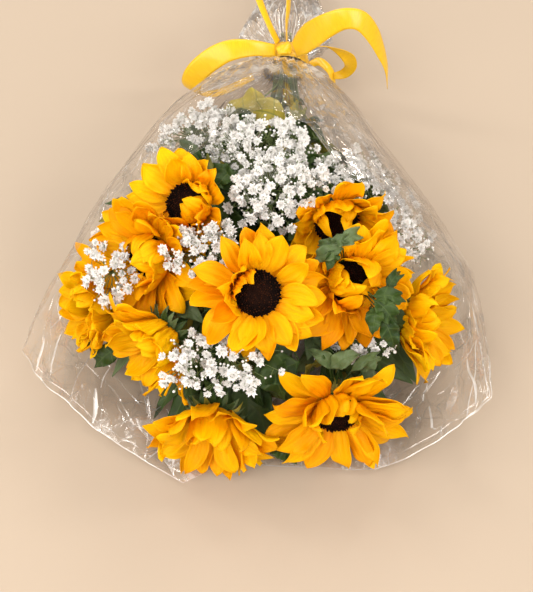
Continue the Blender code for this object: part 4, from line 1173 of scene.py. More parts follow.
# For each bloom: the root, tip, width and tone of the leaves on its stem that show between the heads.
SHOWN_LEAVES = {bloom: [PlacedLeaf(*row) for row in rows] for bloom, rows in {
    "top_left": (
        ((-0.064, 0.071, 0.160), (-0.106, 0.099, 0.152), 0.024, 0.30),
        ((-0.063, 0.061, 0.165), (-0.096, 0.076, 0.160), 0.016, 0.22),
        ((-0.068, 0.076, 0.162), (-0.055, 0.050, 0.168), 0.014, 0.12),
        ((-0.064, 0.071, 0.158), (-0.025, 0.031, 0.158), 0.024, 0.40),
        ((-0.054, 0.054, 0.150), (-0.041, 0.002, 0.150), 0.020, 0.45),
        ((-0.033, 0.062, 0.164), (-0.054, 0.038, 0.162), 0.018, 0.30),
        ((0.010, 0.150, 0.135), (-0.052, 0.176, 0.124), 0.036, 0.0),
        ((0.022, 0.143, 0.140), (-0.024, 0.160, 0.138), 0.030, 0.02),
        ((-0.010, 0.137, 0.142), (-0.045, 0.150, 0.136), 0.020, 0.16),
    ),
    "top_right": (
        ((0.057, 0.017, 0.150), (0.035, 0.052, 0.160), 0.020, 0.30),
        ((0.024, 0.140, 0.140), (0.040, 0.172, 0.124), 0.018, 0.10),
    ),
    "upper_right": (
        ((0.074, -0.058, 0.204), (0.043, -0.070, 0.196), 0.015, 0.85),
        ((0.069, -0.057, 0.205), (0.098, -0.034, 0.200), 0.014, 0.95),
        ((0.063, -0.057, 0.206), (0.081, -0.049, 0.208), 0.011, 0.80),
        ((0.071, -0.059, 0.202), (0.048, -0.050, 0.200), 0.012, 0.70),
        ((0.067, -0.060, 0.200), (0.059, -0.076, 0.196), 0.012, 0.35),
        ((0.104, -0.080, 0.150), (0.132, -0.112, 0.105), 0.034, 0.40),
        ((0.102, -0.101, 0.186), (0.133, -0.101, 0.178), 0.016, 0.22),
        ((0.103, -0.104, 0.184), (0.127, -0.124, 0.168), 0.018, 0.30),
        ((0.105, -0.109, 0.180), (0.102, -0.132, 0.168), 0.016, 0.24),
        ((0.111, -0.117, 0.172), (0.126, -0.141, 0.150), 0.018, 0.26),
        ((0.115, -0.095, 0.184), (0.133, -0.066, 0.180), 0.011, 0.30),
    ),
    "far_right": (
        ((0.118, -0.058, 0.140), (0.137, -0.088, 0.110), 0.030, 0.40),
    ),
    "front_right": (
        ((0.071, -0.146, 0.118), (0.036, -0.127, 0.132), 0.013, 0.86),
        ((0.062, -0.146, 0.122), (0.094, -0.135, 0.134), 0.016, 0.92),
        ((0.083, -0.147, 0.116), (0.115, -0.129, 0.130), 0.010, 0.80),
        ((0.095, -0.146, 0.112), (0.117, -0.132, 0.124), 0.010, 0.90),
        ((0.065, -0.142, 0.118), (0.055, -0.119, 0.130), 0.010, 0.40),
    ),
    "lower_left": (
        ((-0.150, -0.088, 0.060), (-0.184, -0.105, 0.040), 0.020, 0.45),
    ),
    "far_left": (
        ((-0.169, -0.075, 0.070), (-0.187, -0.090, 0.050), 0.016, 0.35),
    ),
    "centre": (
        ((-0.004, -0.127, 0.120), (0.019, -0.175, 0.105), 0.032, 0.40),
        ((0.033, -0.138, 0.120), (-0.010, -0.159, 0.112), 0.028, 0.50),
    ),
    "middle_left": (
        ((-0.091, -0.042, 0.140), (-0.060, -0.070, 0.140), 0.018, 0.80),
        ((-0.098, -0.068, 0.120), (-0.062, -0.093, 0.120), 0.020, 0.90),
    ),
    "front_left": (
        ((0.004, -0.190, 0.040), (0.030, -0.208, 0.034), 0.018, 0.40),
    ),
}.items()}


@dataclass
class Greenery:
    """The stems, green cups, bracts and leaves of each sunflower."""

    effects: SharedEffects
    heads: dict[str, Head]
    nodes: dict[str, bpy.types.Object]
    clear_of: list[BVHTree]
    leaf: LeafShape = field(default_factory=LeafShape)
    bract: LeafShape = field(default_factory=lambda: LeafShape(
        rows=9, columns=5, tooth_depth=0.0, channel=0.25, wave=(0.0, 0.0008), curl=(-0.30, 0.05),
        vein_relief=0.0, outline=((0.0, 0.8), (0.3, 1.0), (0.6, 0.72), (0.85, 0.30), (1.0, 0.02))))
    small_leaf: LeafShape = field(default_factory=lambda: LeafShape(rows=13, columns=7))
    near_leaf: LeafShape = field(default_factory=lambda: LeafShape(
        tooth_depth=0.05, channel=0.34, outline=(
            (0.0, 0.05), (0.05, 0.12), (0.15, 0.52), (0.30, 0.92), (0.44, 1.0), (0.60, 0.80), (0.76, 0.46),
            (0.90, 0.17), (1.0, 0.01))))
    seed: int = 200
    stem_radius: float = 0.0035
    stem_rings: int = 70
    stem_sides: int = 12
    stalk_radius: float = 0.0007
    attempts: int = 4
    room: float = 0.008
    small_width: float = 0.46
    plate: float = 0.005
    cup_depth: float = 0.013
    cup_radius: float = 0.0215
    leaf_least: float = 0.030
    companions: tuple[Pair, ...] = ((0.55, 0.80), (-0.60, 0.72), (0.15, 0.62), (-0.2, 0.9))
    # From where and to where behind the head the stem's own small leaves grow, and how far apart.
    leafy: Triple = (0.030, 0.215, 0.0085)
    # For each row of short bracts: how many, and how steeply they stand back.
    short_bracts: tuple[tuple[int, float], ...] = ((13, -0.55), (13, -0.15))
    leaf_length: Pair = (0.040, 0.066)

    def build(self) -> None:
        """Builds and dresses the green parts of each sunflower."""
        finish = GreenFinish().material(self.effects)
        for number, head in enumerate(self.heads.values()):
            rng = random.Random(self.seed + number)
            reader = SolidReader(self.nodes[f"{head.name}_stem"])
            mould = Mould(f"{head.name}_greens")
            self._stem(mould, head, reader, rng)
            self._cup(mould, head, rng)
            for tip in reader.tips(int(reader.points[:, 1].argmax())):
                guide = reader.guide(tip, 7)
                if guide.length > self.leaf_least:
                    self._leaves(mould, guide, rng)
                elif len(guide.line) >= 3:
                    self._blade(mould, self.bract, guide, head.facing, float(guide.widths.max()), rng)
            mould.cast(finish, Slot.GREEN, f"{head.name}_stem")

    def _stem(self, mould: Mould, head: Head, reader: SolidReader, rng: Draw) -> None:
        """Adds the round stem along the middle of the solid one, and the leaves that grow on it."""
        rows, sides = self.stem_rings, self.stem_sides
        end = head.centre - head.facing * (self.plate + self.cup_depth)
        spots = reader.walk(reader.cut_end() + FORWARD * 0.001, FORWARD, end, 0.008, self.stem_radius * 1.5)
        path = smooth_path(spots[::3] if len(spots) % 3 == 1 else np.vstack([spots[::3], end]), rows)
        radii = self.stem_radius * (1 + 0.05 * np.sin(np.arange(rows) * 0.9 + rng.uniform(0, 6)))
        pale = np.repeat(np.concatenate([[1.0, 1.0], np.zeros(rows)]), sides)
        along = np.repeat(np.linspace(0, 30, rows + 2), sides)
        mould.add(tube(path, radii, sides), along=along, over=0.5, seed=0.4, pale=pale)
        back = np.linalg.norm(path - end, axis=1)
        for number, far in enumerate(np.arange(*self.leafy)):
            here = int(np.abs(back - far).argmin())
            way = unit(path[min(here + 1, rows - 1)] - path[here - 1])
            self._stem_leaf(mould, path[here], way, number, rng)
        for placed in SHOWN_LEAVES.get(head.name, ()):
            self._placed_leaf(mould, path, placed, rng)

    def _placed_leaf(self, mould: Mould, path: Array, placed: PlacedLeaf, rng: Draw) -> None:
        """Adds one leaf at a given place, on a stalk from the stem."""
        root, tip = np.array(placed.root), np.array(placed.tip)
        low = path[np.linalg.norm(path - root - UP * 0.02, axis=1).argmin()]
        stalk = smooth_path(np.array([low, (low + root) / 2 + UP * 0.004, root]), 8)
        mould.add(tube(stalk, np.full(8, self.stalk_radius), 5), along=0.5, over=0.5, seed=0.4, pale=0.0)
        line = np.array([root, (root + tip) / 2 + UP * 0.005, tip - UP * 0.003])
        upward = UP + FORWARD * 0.6
        guide = BladeGuide.even(line, unit(np.cross(tip - root, upward)), placed.width)
        self._blade(mould, self.near_leaf, guide, upward, placed.width * 1.15, rng, placed.tone)

    def _stem_leaf(self, mould: Mould, root: Array, way: Array, number: int, rng: Draw) -> None:
        """Adds one leaf on the stem where its outer half keeps clear of the heads and the film."""
        side = square_to(way, UP)
        share = np.linspace(0, 1, 6)
        for attempt in range(self.attempts):
            out = around(side, np.cross(way, side), number * GOLDEN_ANGLE + attempt * 1.3)
            length = rng.uniform(*self.leaf_length) * (1 - 0.12 * attempt)
            line = root + length * (np.outer(share, out * 0.85 + way * 0.55) - np.outer(share ** 2, UP * 0.22))
            if line[:, 2].min() > 0.006 and self._is_clear(line[2:]):
                guide = BladeGuide.even(line, np.cross(out, way), length * self.small_width)
                self._blade(mould, self.small_leaf, guide, UP + out * 0.3, length * self.small_width, rng)
                return

    def _cup(self, mould: Mould, head: Head, rng: Draw) -> None:
        """Adds the cup behind the head and two rows of bracts round it."""
        back = self.plate + 0.0003
        wide, deep = self.cup_radius, self.cup_depth
        profile = np.array([(0.0, -back), (wide, -back), (wide * 0.97, -back - 0.003),
                            (wide * 0.80, -back - deep * 0.5), (wide * 0.42, -back - deep * 0.85),
                            (self.stem_radius, -back - deep * 1.15), (0.0, -back - deep * 1.2)])
        cup = turned_solid(head.centre, head.facing, head.upper, profile[::-1], 24)
        mould.add(cup, along=0.5, over=0.5, seed=0.3, pale=0.0)
        for row, (count, lift) in enumerate(self.short_bracts):
            for k in range(count):
                out = head.out(FULL_TURN * (k + row / 2) / count)
                way = around(out, head.facing, lift + rng.uniform(-0.35, 0.2))
                root = head.centre + out * wide * 0.8 - head.facing * (back + 0.003)
                line = np.array([root, root + way * 0.009, root + way * 0.017 - head.facing * 0.001])
                guide = BladeGuide.even(line, np.cross(head.facing, out), 0.007)
                self._blade(mould, self.bract, guide, head.facing, 0.0075, rng)

    def _leaves(self, mould: Mould, guide: BladeGuide, rng: Draw) -> None:
        """Adds a leaf along a solid one, and smaller ones beside it where there is room."""
        width = float(guide.widths.max())
        self._blade(mould, self.leaf, guide, UP, width, rng)
        root = guide.line[0]
        axis = unit(guide.line[-1] - root)
        for turn, scale in self.companions:
            swing = square_to(axis, UP)
            line = turned_about(guide.line, root, swing, turn)
            line = root + (line - root) * scale
            sides = turned_about(guide.sides, np.zeros(3), swing, turn)
            drop = rng.uniform(-0.012, 0.004)
            line = line + UP[None, :] * (drop * np.linspace(0, 1, len(line)) ** 2)[:, None]
            if self._is_clear(line[len(line) // 2:]) and line[:, 2].min() > 0.004:
                self._blade(mould, self.leaf, BladeGuide(line, sides, guide.widths), UP, width * scale, rng)

    def _is_clear(self, line: Array) -> bool:
        """Whether a line keeps away from the heads and the film."""
        return not any(is_near(self.clear_of, spot, self.room) for spot in line)

    @staticmethod
    def _blade(mould: Mould, shape: LeafShape, guide: BladeGuide, upward: Array, width: float,
               rng: Draw, tone: float | None = None) -> None:
        """Adds one leaf-like blade, of a random tone if none is given."""
        grid = shape.grid(guide, upward, width, rng)
        mould.add(shell(grid, shape.thickness), pale=0.0, seed=rng.random() if tone is None else tone,
                  **blade_values(shape.rows, shape.columns))


@dataclass(frozen=True)
class Crown:
    """Where one spray of baby's breath flowers, and how thickly."""

    name: str
    middle: Triple
    spread: Triple
    florets: int


@dataclass
class BabysBreath:
    """The sprays of baby's breath: thin stems, forking twigs, double florets and buds."""

    effects: SharedEffects
    nodes: dict[str, bpy.types.Object]
    clear_of: list[BVHTree]
    film: BVHTree
    crowns: tuple[Crown, ...] = (
        Crown("veiled_left", (-0.070, 0.128, 0.134), (0.056, 0.038, 0.026), 100),
        Crown("middle_top", (-0.006, 0.096, 0.150), (0.056, 0.038, 0.027), 112),
        Crown("middle_low", (0.014, 0.030, 0.166), (0.052, 0.042, 0.029), 116),
        Crown("left_inner", (-0.062, -0.044, 0.176), (0.040, 0.031, 0.021), 66),
        Crown("left_outer", (-0.158, -0.038, 0.138), (0.030, 0.042, 0.021), 44),
        Crown("front", (-0.048, -0.150, 0.146), (0.062, 0.034, 0.026), 100),
        Crown("veiled_right", (0.102, 0.074, 0.128), (0.054, 0.040, 0.024), 84),
        Crown("right_outer", (0.142, 0.008, 0.116), (0.030, 0.042, 0.022), 56),
        Crown("right_low", (0.096, -0.118, 0.118), (0.036, 0.014, 0.012), 20),
    )
    seed: int = 500
    floret_radius: Pair = (0.0038, 0.0071)
    bud_radius: Pair = (0.0011, 0.0019)
    side_bud_radius: Pair = (0.0009, 0.0016)
    room: float = 0.0074
    stem_radius: float = 0.0009
    branch_radius: float = 0.0006
    twig_radius: float = 0.00035
    side_twig_radius: float = 0.00030
    floret_room: float = 0.0045
    bud_room: float = 0.003
    branches: int = 9
    tries: int = 60
    bud_share: float = 0.26
    specks: int = 3
    notch: float = 0.26
    side_buds: tuple[int, ...] = (0, 1, 1, 2)
    ragged: float = 0.10
    # For each ring of a floret's petals: how many, how steeply they stand and how long they are.
    petal_rings: tuple[tuple[int, float, float], ...] = ((7, 0.05, 1.0), (6, 0.50, 0.86), (4, 1.0, 0.64))

    def build(self) -> None:
        """Builds and dresses each spray."""
        finish = FloretFinish().material(self.effects)
        for number, crown in enumerate(self.crowns):
            mould = Mould(f"{crown.name}_breath")
            self._flowers(mould, crown, self._stem(mould, crown), random.Random(self.seed + number))
            mould.cast(finish, Slot.FLORET, f"spray_{crown.name}")

    @staticmethod
    def _add(mould: Mould, surface: Surface, green: Array | float = 1.0, along: float = 0.5) -> None:
        """Adds a part that is green, or that share green, at a place along the petals' colours."""
        mould.add(surface, along=along, over=0.0, seed=0.0, green=green)

    def _stem(self, mould: Mould, crown: Crown) -> Array:
        """Adds the stem from the cut end to where the branches part, which it returns."""
        reader = SolidReader(self.nodes[f"spray_{crown.name}"])
        middle = np.array(crown.middle)
        hub = middle + unit(unit(TIE - middle) - UP * 0.35) * max(crown.spread) * 0.95
        spots = reader.walk(reader.cut_end() + FORWARD * 0.0005, FORWARD, hub, 0.003, 0.003)
        path = smooth_path(np.vstack([spots[::6], hub]), 60)
        self._add(mould, tube(path, np.full(60, self.stem_radius), 7))
        return hub

    def _flowers(self, mould: Mould, crown: Crown, hub: Array, rng: Draw) -> None:
        """Adds the branches, and florets and buds that keep clear of each other and of the heads."""
        middle, spread = np.array(crown.middle), np.array(crown.spread)
        forks = []
        for _ in range(self.branches):
            forks.append(hub + (middle + spread * drawn(rng, 0.7) - hub) * 0.62)
            self._twig(mould, hub, forks[-1], self.branch_radius, rng)
        spots: list[Array] = []
        for _ in range(crown.florets * self.tries):
            if len(spots) >= crown.florets:
                break
            way = np.array([rng.gauss(0, 1), rng.gauss(-0.15, 1), rng.gauss(0.75, 0.7)])
            spot = middle + spread * unit(way) * rng.uniform(0.62, 1.10)
            if spots and min(np.linalg.norm(np.array(spots) - spot, axis=1)) < self.room:
                continue
            way = Vector(spot - middle)
            if not self._is_free(spot, self.floret_room, middle, way.normalized(), way.length + 0.004):
                continue
            spots.append(spot)
            fork = min(forks, key=lambda place: float(np.linalg.norm(place - spot)))
            self._twig(mould, fork, spot, self.twig_radius, rng)
            face = unit(unit(spot - hub) + UP * 0.5 + FORWARD * 0.35 + drawn(rng, 0.5))
            if rng.random() < self.bud_share:
                self._bud(mould, spot, face, rng.uniform(*self.bud_radius))
            else:
                self._floret(mould, spot, face, rng.uniform(*self.floret_radius), rng)
            for _ in range(rng.choice(self.side_buds)):
                self._side_bud(mould, fork, spot, face, rng)

    def _is_free(self, spot: Array, room: float, start: Array, way: Vector, reach: float) -> bool:
        """Whether a place keeps clear of the heads, and no film lies within a reach of a start."""
        return (not is_near(self.clear_of, spot, room)
                and self.film.ray_cast(Vector(start), way, reach)[0] is None)

    def _side_bud(self, mould: Mould, fork: Array, spot: Array, face: Array, rng: Draw) -> None:
        """Adds a bud on a short twig beside a floret."""
        start = spot + (fork - spot) * rng.uniform(0.15, 0.35)
        aside = square_to(face, np.array([rng.gauss(0, 1) for _ in range(3)]))
        out = unit(aside + face * rng.uniform(0.5, 1.2))
        end = start + out * rng.uniform(0.007, 0.011)
        if self._is_free(end, self.bud_room, start, Vector(out), 0.016):
            self._twig(mould, start, end, self.side_twig_radius, rng)
            self._bud(mould, end, out, rng.uniform(*self.side_bud_radius))

    def _twig(self, mould: Mould, start: Array, end: Array, radius: float, rng: Draw) -> None:
        """Adds a fine bent twig."""
        sag = np.array([rng.uniform(-1, 1), rng.uniform(-1, 1), rng.uniform(-1, 0.2)]) * 0.08
        bend = (start + end) / 2 + sag * float(np.linalg.norm(end - start))
        self._add(mould, tube(smooth_path(np.array([start, bend, end]), 6), np.full(6, radius), 4))

    def _bud(self, mould: Mould, spot: Array, face: Array, size: float) -> None:
        """Adds a closed bud."""
        profile = np.array([(0.0, -size * 1.3), (size * 0.8, -size * 0.5), (size, 0.2 * size),
                            (size * 0.6, size), (0.0, size * 1.3)])
        bud = turned_solid(spot, face, square_to(face, UP + FORWARD * 0.3), profile, 7)
        self._add(mould, bud, np.repeat((1.0, 0.7, 0.15, 0.0, 0.0), 7), 0.8)

    def _floret(self, mould: Mould, spot: Array, face: Array, size: float, rng: Draw) -> None:
        """Adds a double floret: rings of small cupped petals that stand up towards its heart."""
        side = square_to(face, UP + FORWARD * 0.3)
        other = np.cross(face, side)
        profile = np.array([(0.0, -size * 0.55), (size * 0.34, -size * 0.30), (size * 0.26, size * 0.05),
                            (0.0, size * 0.1)])
        self._add(mould, turned_solid(spot, face, side, profile, 5), 0.85, 0.0)
        over = np.array((-1.0, 0.0, 1.0))
        along = np.array((0.0, 0.4, 0.75, 1.0))
        for count, rise, reach in self.petal_rings:
            offset = rng.uniform(0, 6.28)
            for k in range(count):
                out = around(side, other, offset + FULL_TURN * k / count + rng.uniform(-0.2, 0.2))
                way = around(out, face, rise + rng.uniform(-0.22, 0.25))
                across = np.cross(face, out)
                long = size * reach * rng.uniform(0.85, 1.1)
                width = size * np.array((0.20, 0.58, 0.92, 0.80)) * (0.85 if count > 4 else 0.7)
                bend = rng.uniform(-0.30, 0.35) * long
                path = spot + np.outer(along * long, way) + np.outer(along ** 2 * bend, face)
                cup = np.outer(width, over ** 2) * rng.uniform(0.08, 0.26)
                grid = blade_grid(path, across[None], np.outer(width / 2, over),
                                  np.cross(way, across)[None], cup)
                jitter = np.array([rng.uniform(-1, 1) for _ in range(18)]).reshape(2, 3, 3)
                grid[2:] += jitter * size * self.ragged
                grid[3, 1] -= way * long * self.notch
                mould.add((grid.reshape(-1, 3), grid_faces(4, 3)), along=np.repeat(along, 3),
                          over=np.tile(over, 4), seed=rng.uniform(0, 9), green=0.0)
        speck = np.array([(0.0, 0.0), (0.00036, 0.0002), (0.00036, 0.0007), (0.0, 0.0009)])
        for _ in range(self.specks):
            out = side * rng.uniform(-0.4, 0.4) + other * rng.uniform(-0.4, 0.4)
            root = spot + out * size + face * size * 0.40
            self._add(mould, turned_solid(root, face, side, speck, 3), 1.0, 0.0)


def joined(spots: Array) -> Surface:
    """Scattered flat points and the triangles that join them."""
    made = delaunay_2d_cdt([Vector(spot) for spot in spots], [], [], 0, 1e-6)
    return np.array([tuple(spot) for spot in made[0]]), np.array(made[2])


class FoldNet:
    """A crumpled flat sheet: straight creases join scattered points, and each patch between is flat."""

    def __init__(self, spots: Array, rng: np.random.Generator) -> None:
        """Joins the points and draws a height for each, from -1 to 1."""
        self.spots, self.faces = joined(spots)
        self.heights = rng.uniform(-1, 1, len(self.spots))
        corners = self.spots[self.faces]
        self.first = corners[:, 0]
        a, b = corners[:, 1] - self.first, corners[:, 2] - self.first
        area = a[:, 0] * b[:, 1] - a[:, 1] * b[:, 0]
        self.to_a = np.column_stack([b[:, 1], -b[:, 0]]) / area[:, None]
        self.to_b = np.column_stack([-a[:, 1], a[:, 0]]) / area[:, None]
        rise = self.heights[self.faces]
        self.slopes = (self.to_a * (rise[:, 1] - rise[:, 0])[:, None]
                       + self.to_b * (rise[:, 2] - rise[:, 0])[:, None])
        self.edges: dict[tuple[int, int], list[int]] = {}
        for number, face in enumerate(self.faces):
            for i in range(3):
                self.edges.setdefault(tuple(sorted((face[i], face[i - 1]))), []).append(number)

    def height(self, spots: Array) -> Array:
        """The height of the crumpled sheet at flat points."""
        heights = []
        for some in np.array_split(spots, len(spots) // 1500 + 1):
            a = some @ self.to_a.T - (self.first * self.to_a).sum(axis=1)
            b = some @ self.to_b.T - (self.first * self.to_b).sum(axis=1)
            face = np.minimum(np.minimum(a, b), 1 - a - b).argmax(axis=1)
            rise = ((some - self.first[face]) * self.slopes[face]).sum(axis=1)
            heights.append(self.heights[self.faces[face, 0]] + rise)
        return np.concatenate(heights)

    def line(self, edge: tuple[int, int], step: float) -> Array:
        """Points along one crease."""
        a, b = self.spots[edge[0]], self.spots[edge[1]]
        count = max(int(np.linalg.norm(b - a) / step) + 1, 2)
        return a + (b - a) * np.linspace(0, 1, count)[:, None]

    def edge_spots(self, step: float) -> Array:
        """Points along all the creases."""
        return np.vstack([self.line(edge, step) for edge in self.edges])

    def creases(self, step: float, least: float) -> list[tuple[Array, float]]:
        """The points of each inner crease that is sharp enough, and how sharp it is beside the sharpest."""
        bends = {edge: float(np.linalg.norm(self.slopes[near[0]] - self.slopes[near[1]]))
                 for edge, near in self.edges.items() if len(near) == 2}
        most = float(np.percentile(list(bends.values()), 90))
        return [(self.line(edge, step), min(bend / most, 1.0))
                for edge, bend in bends.items() if bend > least * most]


@dataclass
class FilmWrap:
    """The clear film: one sheet wound round the bunch, gathered at the tie and open at the front."""

    effects: SharedEffects
    seed: int = 77
    # How far in front of the tie a cross-section lies, then its centre and half width, and how high its sides,
    # top and bottom are.
    sections: tuple[tuple[float, ...], ...] = (
        (-0.155, 0.030, 0.040, 0.040, 0.074, 0.008), (-0.112, 0.027, 0.028, 0.040, 0.066, 0.014),
        (-0.072, 0.024, 0.044, 0.046, 0.088, 0.004), (-0.040, 0.022, 0.054, 0.050, 0.100, 0.000),
        (-0.013, 0.022, 0.0236, 0.055, 0.0786, 0.0314), (0.013, 0.022, 0.0236, 0.055, 0.0786, 0.0314),
        (0.030, 0.009, 0.053, 0.058, 0.104, 0.018), (0.052, 0.001, 0.079, 0.060, 0.124, 0.006),
        (0.090, -0.003, 0.107, 0.066, 0.148, 0.000), (0.140, -0.008, 0.132, 0.072, 0.172, 0.000),
        (0.190, -0.008, 0.158, 0.078, 0.190, 0.000), (0.250, -0.006, 0.188, 0.080, 0.204, 0.000),
        (0.320, -0.004, 0.218, 0.080, 0.212, 0.000), (0.390, -0.014, 0.236, 0.075, 0.212, 0.000),
        (0.520, -0.018, 0.244, 0.060, 0.205, 0.000),
    )
    # Degrees from +X over the top, then how far the rim lies in front of the tie.
    mouth: tuple[Pair, ...] = (
        (-90, 0.490), (-57, 0.495), (-45, 0.480), (-24, 0.455), (-8, 0.441), (15, 0.372),
        (30, 0.328), (40, 0.300), (50, 0.262), (62, 0.250), (70, 0.176), (84, 0.157),
        (98, 0.168), (104, 0.212), (114, 0.222), (131, 0.206), (142, 0.222), (149, 0.275),
        (157, 0.345), (168, 0.378), (180, 0.390), (215, 0.425), (235, 0.468), (254, 0.512),
        (262, 0.495), (270, 0.490))
    first_turn: float = -24.0
    last_turn: float = 412.0
    around: float = 1.57
    along: float = 0.34
    # Folds round and along the sheet, how deep they are, and how sharp a fold has to be to get a painted
    # highlight line.
    nets: tuple[tuple[int, int, float, float], ...] = ((32, 11, 0.0070, 0.25), (80, 25, 0.0030, 0.35))
    net_jitter: float = 0.40
    crease_step: float = 0.006
    facets: tuple[int, int] = (150, 48)
    facet_jitter: float = 0.30
    facet_step: float = 0.0065
    rim_points: int = 420
    glint_points: int = 24
    small_depth: float = 0.0004
    tail: float = -0.155
    overlap_gap: float = 0.004
    pleats: float = 34.0
    pleat_depth: float = 0.0030
    crease_width: float = 0.0011
    side_folds: tuple[float, ...] = (-8.0, 181.0)
    side_fold_depth: float = 0.004
    # Broad glints along folds: where round the film, from and to what share of its length, how
    # wide and how bright.
    glints: tuple[tuple[float, ...], ...] = (
        (158.0, 0.44, 0.62, 0.0042, 0.62), (152.0, 0.50, 0.60, 0.0018, 0.45), (166.0, 0.60, 0.74, 0.0016, 0.45),
        (196.0, 0.93, 0.998, 0.0030, 0.60), (205.0, 0.88, 0.995, 0.0022, 0.45),
        (226.0, 0.93, 0.997, 0.0052, 0.75), (228.0, 0.86, 0.93, 0.0020, 0.45),
        (250.0, 0.93, 0.99, 0.0030, 0.50), (-18.0, 0.90, 0.995, 0.0036, 0.72),
        (-34.0, 0.93, 0.998, 0.0030, 0.55), (-38.0, 0.88, 0.95, 0.0018, 0.45), (24.0, 0.76, 0.90, 0.0022, 0.60),
        (30.0, 0.60, 0.74, 0.0020, 0.55), (36.0, 0.52, 0.64, 0.0018, 0.50), (-4.0, 0.84, 0.90, 0.0022, 0.60),
        (56.0, 0.50, 0.62, 0.0020, 0.50), (74.0, 0.48, 0.58, 0.0018, 0.45), (120.0, 0.40, 0.47, 0.0020, 0.40))
    # Painted highlight lines round the sheet: at what share of its length, and how bright.
    rims: tuple[Pair, ...] = ((1.0, 0.50), (0.986, 0.18), (0.0, 0.5))
    flat: Pair = (0.76, 0.76)

    def build(self) -> None:
        """Builds and dresses the film."""
        rng = np.random.default_rng(self.seed)
        nets = [FoldNet(self._scattered(across, rows, self.net_jitter, rng), rng)
                for across, rows, *_ in self.nets]
        spots = np.vstack([self._scattered(*self.facets, self.facet_jitter, rng)]
                          + [net.edge_spots(self.facet_step) for net in nets])
        spots, faces = joined(spots)
        small = rng.uniform(-1, 1, len(spots)) * self.small_depth
        mould = Mould("film_sheet")
        mould.add((self._place(spots, self._height(nets, spots) + small), faces[:, ::-1]), crease=0.0,
                  worn=self._worn(spots))
        width = np.array([self.crease_width])
        for net, (*_, depth, least) in zip(nets, self.nets):
            for line, sharp in net.creases(self.crease_step, least):
                # How bright the painted highlight along this crease is.
                white = rng.uniform(0.05, 0.70) * sharp * (1.0 if depth > 0.005 else 0.45)
                self._crease(mould, line, self._height(nets, line), white * self._worn(line), width)
        for share, white in self.rims:
            rim = np.column_stack([np.linspace(0, self.around, self.rim_points),
                                   np.full(self.rim_points, share * self.along)])
            self._crease(mould, rim, self._height(nets, rim), white * self._worn(rim), width)
        taper = np.sin(np.pi * np.linspace(0.06, 1, self.glint_points)) ** 0.5
        degrees = self.last_turn - self.first_turn
        for turn, start, end, width, white in self.glints:
            share = np.linspace(start, end, self.glint_points)
            round_film = (turn - self.first_turn + 0.8 * np.sin(share * 60)) / degrees
            line = np.column_stack([round_film * self.around, share * self.along])
            self._crease(mould, line, self._height(nets, line), white * taper, width * taper)
        film = mould.cast(FilmFinish().material(self.effects), Slot.FILM, "film_wrap")
        film.data.shade_flat()

    def _height(self, nets: list[FoldNet], spots: Array) -> Array:
        """How far the folds lift points of the flat sheet."""
        return sum(net.height(spots) * depth for net, (*_, depth, _) in zip(nets, self.nets))

    def _scattered(self, columns: int, rows: int, jitter: float, rng: np.random.Generator) -> Array:
        """Points spread unevenly over the flat sheet, with straight rows along its border."""
        x, y = np.meshgrid(np.linspace(0, self.around, columns), np.linspace(0, self.along, rows))
        inner = np.zeros_like(x)
        inner[1:-1, 1:-1] = jitter
        x += rng.uniform(-1, 1, x.shape) * inner * self.around / columns
        y += rng.uniform(-1, 1, x.shape) * inner * self.along / rows
        return np.column_stack([x.ravel(), y.ravel()])

    def _turn(self, spots: Array) -> Array:
        """Where points of the flat sheet lie round the bunch, in degrees from +X over the top."""
        return self.first_turn + (self.last_turn - self.first_turn) * spots[:, 0] / self.around

    def _worn(self, spots: Array) -> Array:
        """How crinkled and hazy the film is, and how strong its mirroring and painted highlights are: most at
        the neck and low down, least over the flowers.
        """
        turn = np.radians(self._turn(spots))
        top = np.clip(np.sin(turn) * 2.2 + 0.3, 0, 1)
        right = np.clip(np.cos(turn) * 2.0, 0, 1)
        skirt = np.clip((self._ahead(spots) - 0.050) / 0.050, 0, 1)
        return 1 - (0.84 - 0.24 * right) * top * skirt

    def _ahead(self, spots: Array) -> Array:
        """How far in front of the tie points of the flat sheet lie."""
        rim = np.interp((self._turn(spots) + 90) % 360 - 90, *np.array(self.mouth).T)
        return self.tail + (rim - self.tail) * spots[:, 1] / self.along

    def _crease(self, mould: Mould, line: Array, height: Array, white: Array, width: Array) -> None:
        """Adds a painted highlight along one crease, rim or glint: a white line just proud of the film."""
        path = self._place(line, height)
        out = units(self._place(line, height + 0.001) - path)
        side = units(np.cross(np.gradient(path, axis=0), out)) * (width / 2)[:, None]
        grid = np.stack([path - side, path + side], axis=1) + out[:, None, :] * 0.0003
        mould.add((grid.reshape(-1, 3), grid_faces(len(line), 2)), crease=np.repeat(white, 2), worn=0.0)

